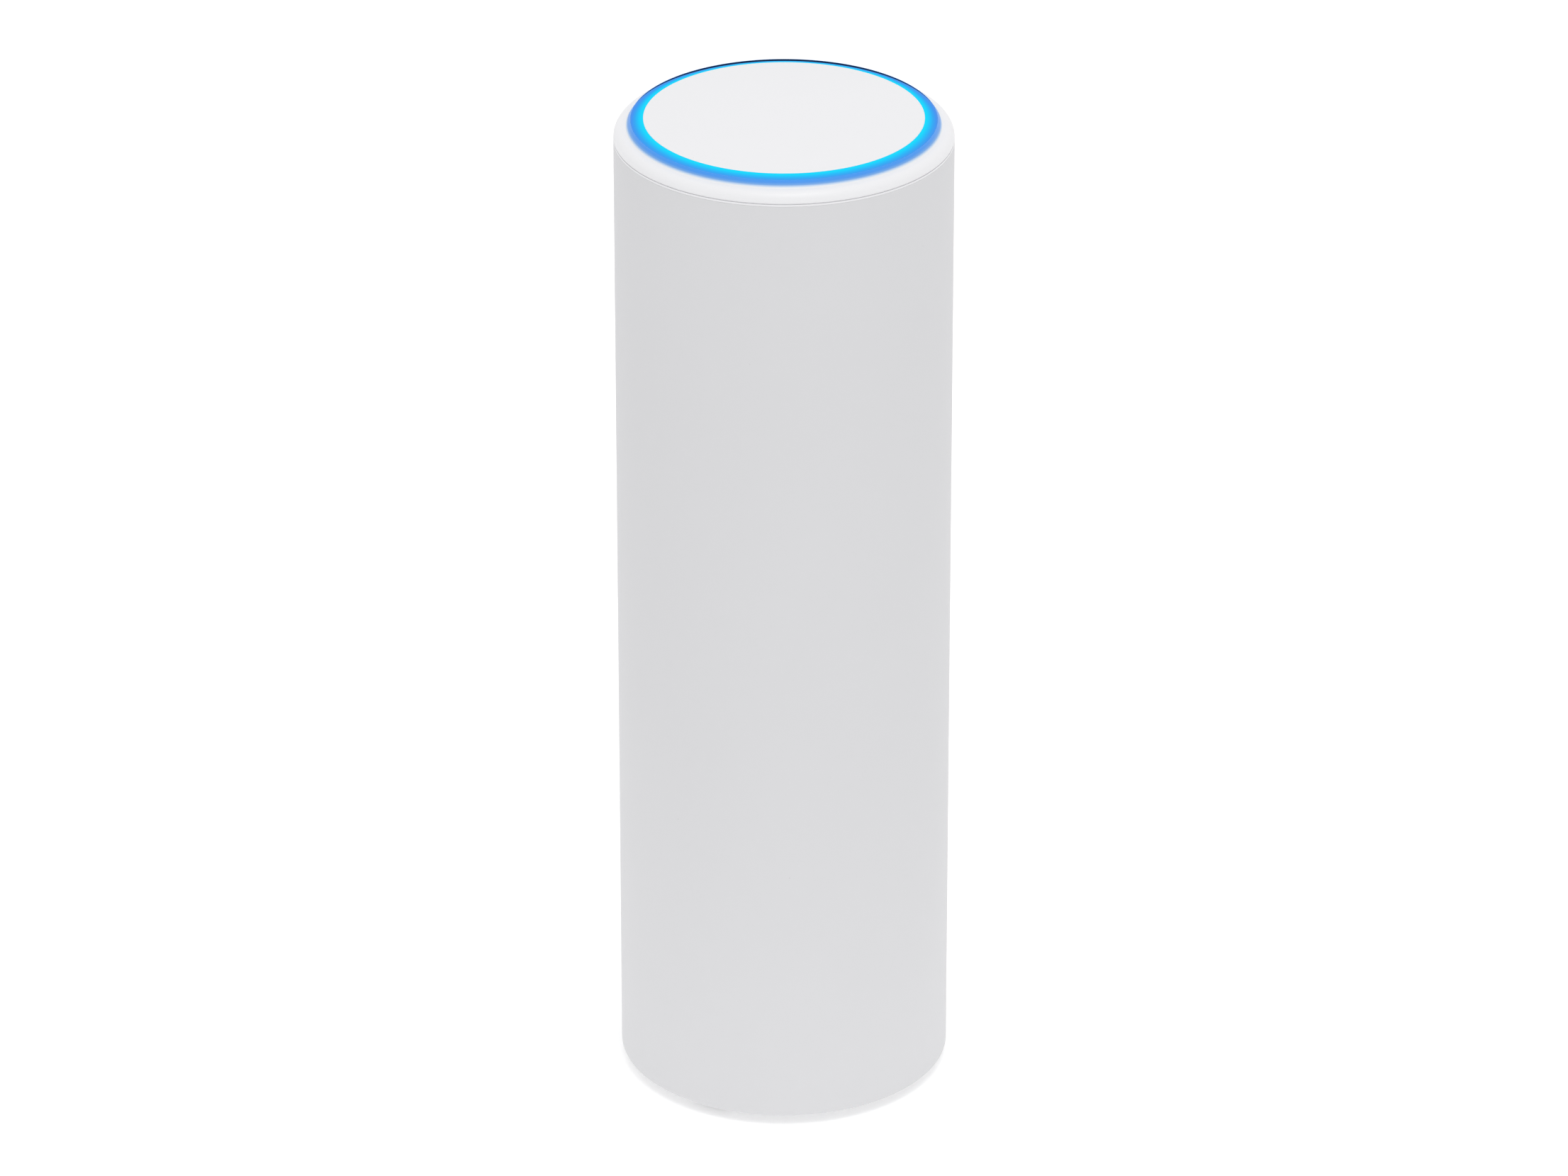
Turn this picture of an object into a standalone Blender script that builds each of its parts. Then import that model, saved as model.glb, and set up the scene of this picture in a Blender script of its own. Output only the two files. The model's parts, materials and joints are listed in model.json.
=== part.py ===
"""Free-standing cylindrical mesh wifi node, built the way it comes apart on a bench.

A plain white sleeve is trapped between a shoulder ring at the top and a collar at the foot.
Under the top sit the light ring, its lamps and their board. The chassis carries the main board,
radios, heat sink and antennas, and a bayonet cover closes the cable well in the foot.
Metres, +Z up, origin on the desk under the middle, front towards -Y, cable exit towards +Y.
"""

import math

import bmesh
import bpy
from mathutils import Matrix, Vector

for leftover in list(bpy.data.objects):
    bpy.data.objects.remove(leftover, do_unlink=True)

MM = 0.001

# Clearances
FIT_GAP = 0.3 * MM        # between pieces that are assembled and stay put
RUN_GAP = 0.4 * MM        # between pieces that move past each other
SOLDER_GAP = 0.1 * MM     # under a component that stands on a board
SEAL_GAP = 0.06 * MM      # on both sides of the thin seal round the light ring
DISC_GAP = 0.1 * MM       # between the top disc and the light ring
SCREW_GAP = 0.25 * MM     # round a screw in its hole
BITE = 0.5 * MM           # how far shapes sink into each other where they are joined
OVERRUN = 2.0 * MM        # how far a cutter runs past what it cuts

# Facets of a full turn, and of a rounded edge
FINE_TURN = 48
ROUND_TURN = 16
SCREW_TURN = 12
O_RING_TURN = 6
EDGE_STEPS = 2
SHOULDER_STEPS = 5
RING_STEPS = 4
ARCH_STEPS = 6
ARCH_SHARE = 0.96        # of a slot's half width that its round end takes
SHARP_DEG = 35.0         # edges that turn more than this are shaded sharp

# Outer sleeve
BODY_DIAMETER = 49.5 * MM
BODY_HEIGHT = 154.0 * MM
FOOT_PROUD = 1.5 * MM     # rubber foot below the sleeve
SLEEVE_WALL = 2.0 * MM
SEAM_ROUND = 0.2 * MM     # top outer edge of the sleeve
RIM_ROUND = 0.4 * MM      # bottom outer edge of the sleeve
REBATE_LIP = 1.0 * MM     # sleeve wall left beside the collar's rim
REBATE_HEIGHT = 1.5 * MM

# Top: disc, light ring, shoulder
SHOULDER_WIDTH = 1.75 * MM  # the rounded roll outside the lip
SHOULDER_DROP = 3.1 * MM  # from the disc's face down to the seam
SHOULDER_PROUD = 0.27 * MM  # shoulder's lip above the ring's outer edge
LIP_WIDTH = 0.55 * MM     # raised lip between the ring and the roll
LIP_HEIGHT = 1.0 * MM     # lip above the roll
LIP_CREST = 0.1 * MM      # flat top of the lip
SHOULDER_WEB = 0.8 * MM   # shoulder under the ring's rim
SHOULDER_SKIRT_LENGTH = 7.0 * MM
SHOULDER_SKIRT_WALL = 1.4 * MM
FLANGE_THICKNESS = 2.0 * MM
FLANGE_OPENING = 18.0 * MM
SEAM_GAP = 0.25 * MM
SEAL_WIDTH = 0.1 * MM     # a thin dark film that keeps the ring's light off the shoulder
SEAL_PROUD = 0.24 * MM    # film above the ring's outer edge
RING_WIDTH = 1.8 * MM
RING_DROP = 0.57 * MM     # from the disc's face down to the ring's outer edge
RING_STEP = 0.05 * MM     # from the disc's face down to the ring's inner edge
RING_CROWN = 0.05 * MM    # how far the ring's face bulges
GUIDE_WALL = 2.2 * MM
DISC_THICKNESS = 1.0 * MM
DISC_ROUND = 0.15 * MM
O_RING_SECTION = 0.9 * MM
O_RING_GAP = 0.1 * MM
O_RING_DEPTH = 3.2 * MM   # from the seam down to the O-ring
BAFFLE_WALL = 0.9 * MM
LED_BOARD_THICKNESS = 1.2 * MM
LED_SIZE = 1.6 * MM
LED_HEIGHT = 0.8 * MM
LED_COUNT = 8
LED_CABLE_WIDTH = 6.0 * MM
LED_CABLE_THICKNESS = 0.4 * MM
LED_CABLE_BEND = 1.5 * MM

# Foot: collar, bayonet cover, rubber foot, grommet
COLLAR_WALL = 2.05 * MM
COLLAR_HEIGHT = 26.5 * MM
EAR_MARGIN = 0.9 * MM     # ear round a screw's head
EAR_HEIGHT = 3.4 * MM
POCKET_WALL = 0.45 * MM   # collar left behind a bayonet pocket
BAYONET_ANGLES = (30.0, 150.0, 270.0)
TWIST_DEG = 30.0          # turn from locked to free
LUG_WIDTH_DEG = 12.0
LUG_PLAY_DEG = 2.0
ENTRY_PLAY_DEG = 1.0
LUG_RISE = 6.0 * MM       # from the cover's underside up to the lug
LUG_HEIGHT = 2.0 * MM
COVER_FLOOR = 2.4 * MM
PLUG_WALL = 1.8 * MM
PLUG_EDGE = 2.5 * MM      # plug wall above the lugs
GRIP_DIAMETER = 8.0 * MM
GRIP_DEPTH = 1.0 * MM
GRIP_MARGIN = 1.0 * MM    # between a finger dimple and the foot's groove
GRIP_ANGLES = (200.0, 340.0)
FOOT_RIM = 0.7 * MM       # cover left outside the foot's groove
FOOT_WIDTH = 3.8 * MM
FOOT_SUNK = 0.7 * MM
FOOT_ROUND = 0.3 * MM
CABLE_DIAMETER = 6.2 * MM
CABLE_RISE = 4.0 * MM     # from the cover's underside up to the cable's middle
GROMMET_WALL = 1.3 * MM
GROMMET_LIP = 1.5 * MM    # flange beyond the slot's side
GROMMET_FLANGE = 1.7 * MM
GROMMET_SLIT = 1.0 * MM

# Chassis
BULKHEAD_THICKNESS = 2.5 * MM
RAIL_WIDTH = 2.2 * MM
RAIL_CHEEK = 1.3 * MM     # rail beside the board's groove
RAIL_GROOVE = 1.0 * MM
DECK_THICKNESS = 2.4 * MM
WINDOW_MARGIN = 1.5 * MM  # beside the lamp cable
WINDOW_DEPTH = 9.0 * MM

# Screws
SCREW_DIAMETER = 2.0 * MM
SCREW_HEAD_DIAMETER = 3.8 * MM
SCREW_HEAD_HEIGHT = 1.3 * MM
SCREW_RECESS_DIAMETER = 1.7 * MM
SCREW_RECESS_DEPTH = 0.7 * MM
SCREW_GRIP = 4.5 * MM     # length held in a boss
BOSS_WALL = 1.25 * MM
BOSS_ROOF = 1.5 * MM
EAR_ANGLES = (30.0, 150.0, 270.0)
TOP_SCREW_ANGLES = (90.0, 210.0, 330.0)

# Main board, network socket, reset button
BOARD_THICKNESS = 1.6 * MM
BOARD_FACE = 4.0 * MM     # the board's front face, behind the axis
BOARD_END_GAP = 0.4 * MM
PART_SPACING = 1.5 * MM   # between components on the board
SOCKET_WIDTH = 11.9 * MM
SOCKET_HEIGHT = 8.6 * MM
SOCKET_DEPTH = 14.0 * MM
SOCKET_BACK_WALL = 1.1 * MM
LATCH_WIDTH = 6.5 * MM
LATCH_HEIGHT = 2.4 * MM
LATCH_DEPTH = 10.0 * MM
LATCH_WALL = 0.8 * MM
JACK_CHEEK = 1.75 * MM
JACK_REAR = 7.3 * MM
JACK_PROUD = 0.6 * MM     # jack's mouth below the bulkhead
JACK_SHELL_WALL = 0.35 * MM
JACK_LINER_GAP = 0.15 * MM
CONTACT_COUNT = 8
CONTACT_PITCH = 1.02 * MM
CONTACT_WIDTH = 0.46 * MM
CONTACT_THICKNESS = 0.35 * MM
CONTACT_LENGTH = 9.0 * MM
CONTACT_LEAN_DEG = 12.0
CONTACT_BAR = 1.3 * MM
RESET_TIP_DIAMETER = 2.8 * MM
RESET_FLANGE_DIAMETER = 4.6 * MM
RESET_FLANGE_HEIGHT = 0.8 * MM
RESET_STEM_DIAMETER = 2.2 * MM
RESET_TRAVEL = 0.8 * MM
RESET_SUNK = 0.3 * MM
SWITCH_WIDTH = 6.2 * MM
SWITCH_HEIGHT = 4.0 * MM
SWITCH_SOCKET = 2.0 * MM

# Components: width, depth off the board, height
MAGNETICS_SIZE = (15.5 * MM, 4.2 * MM, 9.5 * MM)
INDUCTOR_SIZE = (7.5 * MM, 4.2 * MM, 7.5 * MM)
TRANSFORMER_SIZE = (13.5 * MM, 9.0 * MM, 11.5 * MM)
CAPACITOR_SIZE = (8.0 * MM, 11.0 * MM, 8.0 * MM)
PROCESSOR_SIZE = (14.0 * MM, 1.3 * MM, 14.0 * MM)
MEMORY_SIZE = (9.0 * MM, 1.1 * MM, 13.0 * MM)
SHIELD_DEPTH = 3.2 * MM
SHIELD_SIDE_GAP = 1.0 * MM  # between a radio shield and the heat sink's screw heads
LEAD_STRIP = 8.0 * MM     # board above the radio shields, for the antenna leads
PART_ROUND = 0.4 * MM
PAD_THICKNESS = 1.0 * MM
PAD_GAP = 0.15 * MM

# Heat sink
SINK_INSET = 3.0 * MM     # from the board's edge
SINK_PLATE = 2.5 * MM
SINK_AIR_GAP = 1.2 * MM   # between the fins' tips and the sleeve
FIN_COUNT = 6
FIN_THICKNESS = 1.4 * MM
FIN_MARGIN = 3.0 * MM     # from the plate's edge to the last fin's middle
LEG_DIAMETER = 4.6 * MM
LEG_INSET = 3.0 * MM

# Antennas
CARRIER_WALL = 1.2 * MM
CARRIER_GAP = 1.55 * MM   # room for antennas and leads outside the carrier
CARRIER_TOP_GAP = 3.0 * MM
ANTENNA_THICKNESS = 0.4 * MM
ANTENNA_HEIGHT = 30.0 * MM
ANTENNA_TOP_GAP = 5.5 * MM
ANTENNA_FOOT = 6.0 * MM   # antenna left whole below its slot
ANTENNA_WIDTH_DEG = 30.0
ANTENNA_SLOT_DEG = 4.0
ANTENNA_SLOT_OFF_DEG = 6.0
ANTENNA_ANGLES = (198.0, 246.0, 294.0, 342.0)
LEAD_DIAMETER = 1.0 * MM
LEAD_HUMP = 1.4 * MM      # lead's middle above the carrier's top edge
LEAD_INSETS = (5.5 * MM, 13.0 * MM)  # lead sockets from the board's edge

# Radii that follow
BODY_R = BODY_DIAMETER / 2
BORE_R = BODY_R - SLEEVE_WALL
REBATE_R = BODY_R - REBATE_LIP
CHASSIS_R = BORE_R - FIT_GAP
SHOULDER_ROLL_R = BODY_R - SHOULDER_WIDTH
SHOULDER_LIP_R = SHOULDER_ROLL_R - LIP_WIDTH
SHOULDER_BORE_R = CHASSIS_R - SHOULDER_SKIRT_WALL
RING_R = SHOULDER_LIP_R - SEAL_WIDTH - 2 * SEAL_GAP
RING_BORE_R = RING_R - RING_WIDTH
DISC_R = RING_BORE_R - DISC_GAP
GUIDE_R = SHOULDER_BORE_R - FIT_GAP
GUIDE_BORE_R = GUIDE_R - GUIDE_WALL
BAFFLE_R = GUIDE_BORE_R - FIT_GAP
BAFFLE_BORE_R = BAFFLE_R - BAFFLE_WALL
O_RING_R = BORE_R - O_RING_GAP - O_RING_SECTION / 2
LED_R = (GUIDE_R + GUIDE_BORE_R) / 2
FLANGE_BORE_R = FLANGE_OPENING / 2
TOP_SCREW_R = (FLANGE_BORE_R + BAFFLE_BORE_R) / 2
COLLAR_BORE_R = CHASSIS_R - COLLAR_WALL
POCKET_R = CHASSIS_R - POCKET_WALL
LUG_R = POCKET_R - RUN_GAP
COVER_R = COLLAR_BORE_R - RUN_GAP
PLUG_BORE_R = COVER_R - PLUG_WALL
FOOT_GROOVE_R = COVER_R - FOOT_RIM
FOOT_R = FOOT_GROOVE_R - FIT_GAP
FOOT_BORE_R = FOOT_R - FOOT_WIDTH
FOOT_GROOVE_BORE_R = FOOT_BORE_R - FIT_GAP
GRIP_CIRCLE_R = FOOT_GROOVE_BORE_R - GRIP_MARGIN - GRIP_DIAMETER / 2
EAR_R = SCREW_HEAD_DIAMETER / 2 + EAR_MARGIN
EAR_CIRCLE_R = COLLAR_BORE_R - RUN_GAP - SCREW_HEAD_DIAMETER / 2
SCREW_R = SCREW_DIAMETER / 2
SCREW_HOLE_R = SCREW_R + SCREW_GAP
BOSS_R = SCREW_HOLE_R + BOSS_WALL
CARRIER_R = CHASSIS_R - CARRIER_GAP
ANTENNA_BORE_R = CARRIER_R + FIT_GAP
ANTENNA_R = ANTENNA_BORE_R + ANTENNA_THICKNESS
LEAD_R = CARRIER_R + FIT_GAP + LEAD_DIAMETER / 2

# Heights that follow, from the top down
RING_EDGE_Z = BODY_HEIGHT - RING_DROP
DISC_BOTTOM_Z = BODY_HEIGHT - DISC_THICKNESS
DISC_SEAT_Z = DISC_BOTTOM_Z - FIT_GAP
SEAM_Z = BODY_HEIGHT - SHOULDER_DROP
LEDGE_Z = SEAM_Z + SHOULDER_WEB
SLEEVE_TOP_Z = SEAM_Z - SEAM_GAP
O_RING_Z = SEAM_Z - O_RING_DEPTH
FLANGE_Z = SEAM_Z - SHOULDER_SKIRT_LENGTH
FLANGE_TOP_Z = FLANGE_Z + FLANGE_THICKNESS
LED_BOARD_Z = FLANGE_TOP_Z + FIT_GAP
LED_BOARD_TOP_Z = LED_BOARD_Z + LED_BOARD_THICKNESS
LED_Z = LED_BOARD_TOP_Z + SOLDER_GAP
GUIDE_Z = LED_Z + LED_HEIGHT + FIT_GAP
DECK_TOP_Z = FLANGE_Z - FIT_GAP
DECK_Z = DECK_TOP_Z - DECK_THICKNESS
BOARD_TOP_Z = DECK_Z - BOARD_END_GAP
CARRIER_TOP_Z = DECK_Z - CARRIER_TOP_GAP
ANTENNA_TOP_Z = CARRIER_TOP_Z - ANTENNA_TOP_GAP

# Heights that follow, from the desk up
COVER_FLOOR_Z = FOOT_PROUD + COVER_FLOOR
LUG_Z = FOOT_PROUD + LUG_RISE
LUG_TOP_Z = LUG_Z + LUG_HEIGHT
PLUG_TOP_Z = LUG_TOP_Z + PLUG_EDGE
CABLE_Z = FOOT_PROUD + CABLE_RISE
COLLAR_TOP_Z = FOOT_PROUD + COLLAR_HEIGHT
EAR_TOP_Z = COLLAR_TOP_Z - FIT_GAP
EAR_Z = EAR_TOP_Z - EAR_HEIGHT
BULKHEAD_Z = COLLAR_TOP_Z + FIT_GAP
BULKHEAD_TOP_Z = BULKHEAD_Z + BULKHEAD_THICKNESS
BOARD_Z = BULKHEAD_TOP_Z + BOARD_END_GAP
JACK_Z = BULKHEAD_Z - JACK_PROUD
SOCKET_TOP_Z = JACK_Z + SOCKET_DEPTH
JACK_TOP_Z = SOCKET_TOP_Z + JACK_REAR
POWER_ROW_Z = JACK_TOP_Z + PART_SPACING
SUPPLY_ROW_Z = POWER_ROW_Z + max(MAGNETICS_SIZE[2], INDUCTOR_SIZE[2]) + PART_SPACING
SHIELD_Z = SUPPLY_ROW_Z + max(TRANSFORMER_SIZE[2], CAPACITOR_SIZE[2]) + PART_SPACING
SHIELD_TOP_Z = BOARD_TOP_Z - LEAD_STRIP
SHIELD_HEIGHT = (SHIELD_TOP_Z - SHIELD_Z - PART_SPACING) / 2
LEAD_Z = (SHIELD_TOP_Z + BOARD_TOP_Z) / 2
RESET_FLANGE_Z = BULKHEAD_TOP_Z + FIT_GAP
SWITCH_Z = RESET_FLANGE_Z + RESET_FLANGE_HEIGHT + RESET_TRAVEL + RUN_GAP

# Depths and widths that follow, from the board outwards
BOARD_BACK = BOARD_FACE + BOARD_THICKNESS
PART_FRONT = BOARD_FACE - SOLDER_GAP
PART_BACK = BOARD_BACK + SOLDER_GAP
RAIL_FRONT = BOARD_FACE - FIT_GAP - RAIL_CHEEK
RAIL_BACK = BOARD_BACK + FIT_GAP + RAIL_CHEEK
RAIL_OUTER_X = math.sqrt(CHASSIS_R ** 2 - RAIL_BACK ** 2) - FIT_GAP
RAIL_INNER_X = RAIL_OUTER_X - RAIL_WIDTH
BOARD_HALF = RAIL_INNER_X + RAIL_GROOVE - FIT_GAP
JACK_SKIN = JACK_SHELL_WALL + JACK_LINER_GAP
JACK_HALF = SOCKET_WIDTH / 2 + JACK_CHEEK + JACK_SKIN
JACK_BACK = BOARD_FACE - FIT_GAP
SOCKET_BACK = JACK_BACK - JACK_SKIN - SOCKET_BACK_WALL
SOCKET_FRONT = SOCKET_BACK - SOCKET_HEIGHT
LATCH_FRONT = SOCKET_FRONT - LATCH_HEIGHT
JACK_FRONT = LATCH_FRONT - LATCH_WALL - JACK_SKIN
RESET_X = JACK_HALF + PART_SPACING / 2 + SWITCH_WIDTH / 2
RESET_Y = PART_FRONT - SWITCH_WIDTH / 2
SINK_HALF = BOARD_HALF - SINK_INSET
LEG_X = SINK_HALF - LEG_INSET
SHIELD_HALF = LEG_X - SCREW_HEAD_DIAMETER / 2 - SHIELD_SIDE_GAP
PAD_FRONT = PART_BACK + PROCESSOR_SIZE[1] + PAD_GAP
SINK_FRONT = PAD_FRONT + PAD_THICKNESS + PAD_GAP
SINK_PLATE_BACK = SINK_FRONT + SINK_PLATE
CABLE_SLOT_HALF = CABLE_DIAMETER / 2 + GROMMET_WALL + FIT_GAP


# Collections and materials

def own_collection(name):
    collection = bpy.data.collections.new(name)
    bpy.context.scene.collection.children.link(collection)
    return collection


PARTS = own_collection("mesh_wifi_node")
CUTTERS = own_collection("mesh_wifi_node_cutters")


def material(name, colour, roughness, metallic=0.0, glow=0.0):
    made = bpy.data.materials.new(name)
    made.use_nodes = True
    shader = made.node_tree.nodes["Principled BSDF"]
    shader.inputs["Base Color"].default_value = (*colour, 1.0)
    shader.inputs["Roughness"].default_value = roughness
    shader.inputs["Metallic"].default_value = metallic
    shader.inputs["Emission Color"].default_value = (*colour, 1.0)
    shader.inputs["Emission Strength"].default_value = glow
    made.diffuse_color = (*colour, 1.0)
    return made


SLEEVE_WHITE = material("sleeve_white", (0.72, 0.72, 0.73), 0.5)
SHOULDER_WHITE = material("shoulder_white", (0.86, 0.86, 0.87), 0.4)
DISC_WHITE = material("disc_white", (0.84, 0.84, 0.86), 0.5)
RING_BLUE = material("ring_blue", (0.02, 0.50, 0.95), 0.3, glow=1.0)
SEAL_BLACK = material("seal_black", (0.01, 0.04, 0.04), 0.6)
BAFFLE_WHITE = material("baffle_white", (0.85, 0.85, 0.85), 0.5)
BASE_GREY = material("base_grey", (0.62, 0.62, 0.63), 0.5)
FOOT_RUBBER = material("foot_rubber", (0.08, 0.08, 0.085), 0.85)
GROMMET_RUBBER = material("grommet_rubber", (0.3, 0.3, 0.31), 0.8)
CHASSIS_BLACK = material("chassis_black", (0.03, 0.03, 0.032), 0.55)
BOARD_GREEN = material("board_green", (0.01, 0.09, 0.05), 0.4)
LED_WHITE = material("led_white", (0.8, 0.8, 0.7), 0.3)
SCREW_STEEL = material("screw_steel", (0.45, 0.45, 0.46), 0.35, 1.0)
SHELL_TIN = material("shell_tin", (0.6, 0.6, 0.6), 0.3, 1.0)
JACK_BLACK = material("jack_black", (0.02, 0.02, 0.02), 0.45)
CONTACT_GOLD = material("contact_gold", (0.75, 0.55, 0.2), 0.25, 1.0)
BUTTON_GREY = material("button_grey", (0.2, 0.2, 0.21), 0.5)
CHIP_BLACK = material("chip_black", (0.015, 0.015, 0.016), 0.5)
FERRITE_GREY = material("ferrite_grey", (0.06, 0.06, 0.06), 0.65)
CAN_SILVER = material("can_silver", (0.65, 0.65, 0.66), 0.3, 1.0)
PAD_GREY = material("pad_grey", (0.35, 0.38, 0.42), 0.8)
SINK_ALUMINIUM = material("sink_aluminium", (0.55, 0.56, 0.57), 0.45, 1.0)
CARRIER_GREY = material("carrier_grey", (0.12, 0.12, 0.125), 0.6)
ANTENNA_COPPER = material("antenna_copper", (0.72, 0.36, 0.2), 0.35, 1.0)
LEAD_BLACK = material("lead_black", (0.02, 0.02, 0.022), 0.5)
CABLE_WHITE = material("cable_white", (0.75, 0.75, 0.72), 0.5)


# Shapes

def object_from(name, shape):
    mesh = bpy.data.meshes.new(name)
    bmesh.ops.recalc_face_normals(shape, faces=shape.faces)
    shape.to_mesh(mesh)
    shape.free()
    item = bpy.data.objects.new(name, mesh)
    PARTS.objects.link(item)
    return item


def block(name, low, high):
    """A box between two corners, with its origin in its middle."""
    shape = bmesh.new()
    bmesh.ops.create_cube(shape, size=1.0)
    bmesh.ops.scale(shape, vec=Vector(high) - Vector(low), verts=shape.verts)
    item = object_from(name, shape)
    item.location = (Vector(low) + Vector(high)) / 2
    return item


def round_ended_block(name, low, high, end, along):
    """A box whose end, such as (0, 0, 1), is rounded across the given axis number."""
    shape = bmesh.new()
    bmesh.ops.create_cube(shape, size=1.0)
    size = Vector(high) - Vector(low)
    end = Vector(end)
    edges = []
    for edge in shape.edges:
        first, second = (vert.co for vert in edge.verts)
        at_end = first.dot(end) > 0 and second.dot(end) > 0
        if at_end and abs(first[along] - second[along]) > 0:
            edges.append(edge)
    across = next(axis for axis in range(3) if axis != along and end[axis] == 0)
    bmesh.ops.scale(shape, vec=size, verts=shape.verts)
    bmesh.ops.bevel(shape, geom=edges, offset=ARCH_SHARE * size[across] / 2, segments=ARCH_STEPS,
                    profile=0.5, affect="EDGES")
    item = object_from(name, shape)
    item.location = (Vector(low) + Vector(high)) / 2
    return item


def rod(name, radius, start, end, facets=ROUND_TURN):
    """A round bar from one point to another."""
    along = Vector(end) - Vector(start)
    shape = bmesh.new()
    bmesh.ops.create_cone(shape, cap_ends=True, segments=facets, radius1=radius,
                          radius2=radius, depth=along.length)
    item = object_from(name, shape)
    item.location = (Vector(start) + Vector(end)) / 2
    item.rotation_mode = "QUATERNION"
    item.rotation_quaternion = along.to_track_quat("Z", "Y")
    return item


def turned(name, profile, facets=FINE_TURN, closed=True):
    """A turned piece: (radius, height) points that run down its outer side."""
    shape = bmesh.new()
    points = [shape.verts.new((radius, 0.0, height)) for radius, height in profile]
    for here, there in zip(points, points[1:]):
        shape.edges.new((here, there))
    if closed:
        shape.edges.new((points[-1], points[0]))
    item = object_from(name, shape)
    screw = item.modifiers.new("turn", "SCREW")
    screw.steps = facets
    screw.render_steps = facets
    screw.use_merge_vertices = True
    screw.merge_threshold = 0.00001
    return item


def turn_about(axis, degrees):
    return Matrix.Rotation(math.radians(degrees), 3, axis)


def sector(name, radii, heights, middle_deg, width_deg):
    """A stretch of a ring, spun from its square end about the upright axis."""
    inner, outer = radii
    low, high = heights
    shape = bmesh.new()
    bmesh.ops.create_grid(shape, x_segments=1, y_segments=1, size=0.5)
    bmesh.ops.scale(shape, vec=(outer - inner, high - low, 1.0), verts=shape.verts)
    bmesh.ops.rotate(shape, verts=shape.verts, matrix=turn_about("X", 90.0))
    middle = Vector(((inner + outer) / 2, 0.0, (low + high) / 2))
    bmesh.ops.translate(shape, verts=shape.verts, vec=middle)
    first = turn_about("Z", middle_deg - width_deg / 2)
    bmesh.ops.rotate(shape, verts=shape.verts, matrix=first)
    bmesh.ops.spin(shape, geom=shape.verts[:] + shape.edges[:] + shape.faces[:],
                   axis=(0.0, 0.0, 1.0), angle=math.radians(width_deg),
                   steps=max(1, round(FINE_TURN * width_deg / 360.0)))
    return object_from(name, shape)


def ribbon(name, route, width, thickness):
    """A flat cable: (y, z) points along its middle, drawn out sideways and thickened."""
    shape = bmesh.new()
    points = [shape.verts.new((-width / 2, y, z)) for y, z in route]
    for here, there in zip(points, points[1:]):
        shape.edges.new((here, there))
    drawn = bmesh.ops.extrude_edge_only(shape, edges=shape.edges[:])["geom"]
    moved = [part for part in drawn if isinstance(part, bmesh.types.BMVert)]
    bmesh.ops.translate(shape, verts=moved, vec=(width, 0.0, 0.0))
    item = object_from(name, shape)
    thicken = item.modifiers.new("thickness", "SOLIDIFY")
    thicken.thickness = thickness
    thicken.offset = 0.0
    return item


def wire(name, points, diameter, finish):
    """A thin lead along a list of points."""
    curve = bpy.data.curves.new(name, "CURVE")
    curve.dimensions = "3D"
    curve.bevel_depth = diameter / 2
    curve.bevel_resolution = 1
    curve.use_fill_caps = True
    line = curve.splines.new("POLY")
    line.points.add(len(points) - 1)
    for knot, place in zip(line.points, points):
        knot.co = (*place, 1.0)
    curve.materials.append(finish)
    item = bpy.data.objects.new(name, curve)
    PARTS.objects.link(item)
    return item


def polar(radius, degrees, height):
    angle = math.radians(degrees)
    return Vector((radius * math.cos(angle), radius * math.sin(angle), height))


def arc(middle, radii, first_deg, last_deg, steps):
    """Points of an elliptical arc in a profile."""
    turn = (last_deg - first_deg) / steps
    angles = [math.radians(first_deg + turn * step) for step in range(steps + 1)]
    return [(middle[0] + radii[0] * math.cos(a), middle[1] + radii[1] * math.sin(a)) for a in angles]


def ring_profile(radii, heights):
    """A square ring section."""
    inner, outer = radii
    low, high = heights
    return [(outer, high), (outer, low), (inner, low), (inner, high)]


def combine(item, tools, operation):
    for tool in tools:
        PARTS.objects.unlink(tool)
        CUTTERS.objects.link(tool)
        tool.hide_render = True
        tool.display_type = "WIRE"
        boolean = item.modifiers.new(tool.name, "BOOLEAN")
        boolean.operation = operation
        boolean.solver = "EXACT"
        boolean.object = tool


def cut(item, *tools):
    combine(item, tools, "DIFFERENCE")


def fuse(item, *tools):
    combine(item, tools, "UNION")


def soften(item, width):
    """Takes the sharp edges off a boxy piece."""
    bevel = item.modifiers.new("edges", "BEVEL")
    bevel.width = width
    bevel.segments = 1
    bevel.limit_method = "ANGLE"


def settle(item, finish):
    """Applies the modifiers, shades the result smooth up to its edges and gives it its finish."""
    bpy.context.view_layer.update()
    graph = bpy.context.evaluated_depsgraph_get()
    mesh = bpy.data.meshes.new_from_object(item.evaluated_get(graph))
    item.modifiers.clear()
    item.data = mesh
    mesh.name = item.name
    mesh.shade_smooth()
    mesh.set_sharp_from_angle(angle=math.radians(SHARP_DEG))
    mesh.materials.clear()
    mesh.materials.append(finish)
    return item


def ride_along(item, carrier):
    """Parents a piece to the one that carries it, where it stands."""
    bpy.context.view_layer.update()
    item.parent = carrier
    item.matrix_parent_inverse = carrier.matrix_world.inverted()


# Top: sleeve, shoulder, light ring, disc and their seals

def cable_notch(name, start, end):
    """Cutter for the arch in the back through which the cable leaves."""
    low = (-CABLE_SLOT_HALF, start, FOOT_PROUD - OVERRUN)
    high = (CABLE_SLOT_HALF, end, CABLE_Z + CABLE_SLOT_HALF)
    return round_ended_block(name, low, high, (0, 0, 1), 1)


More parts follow.
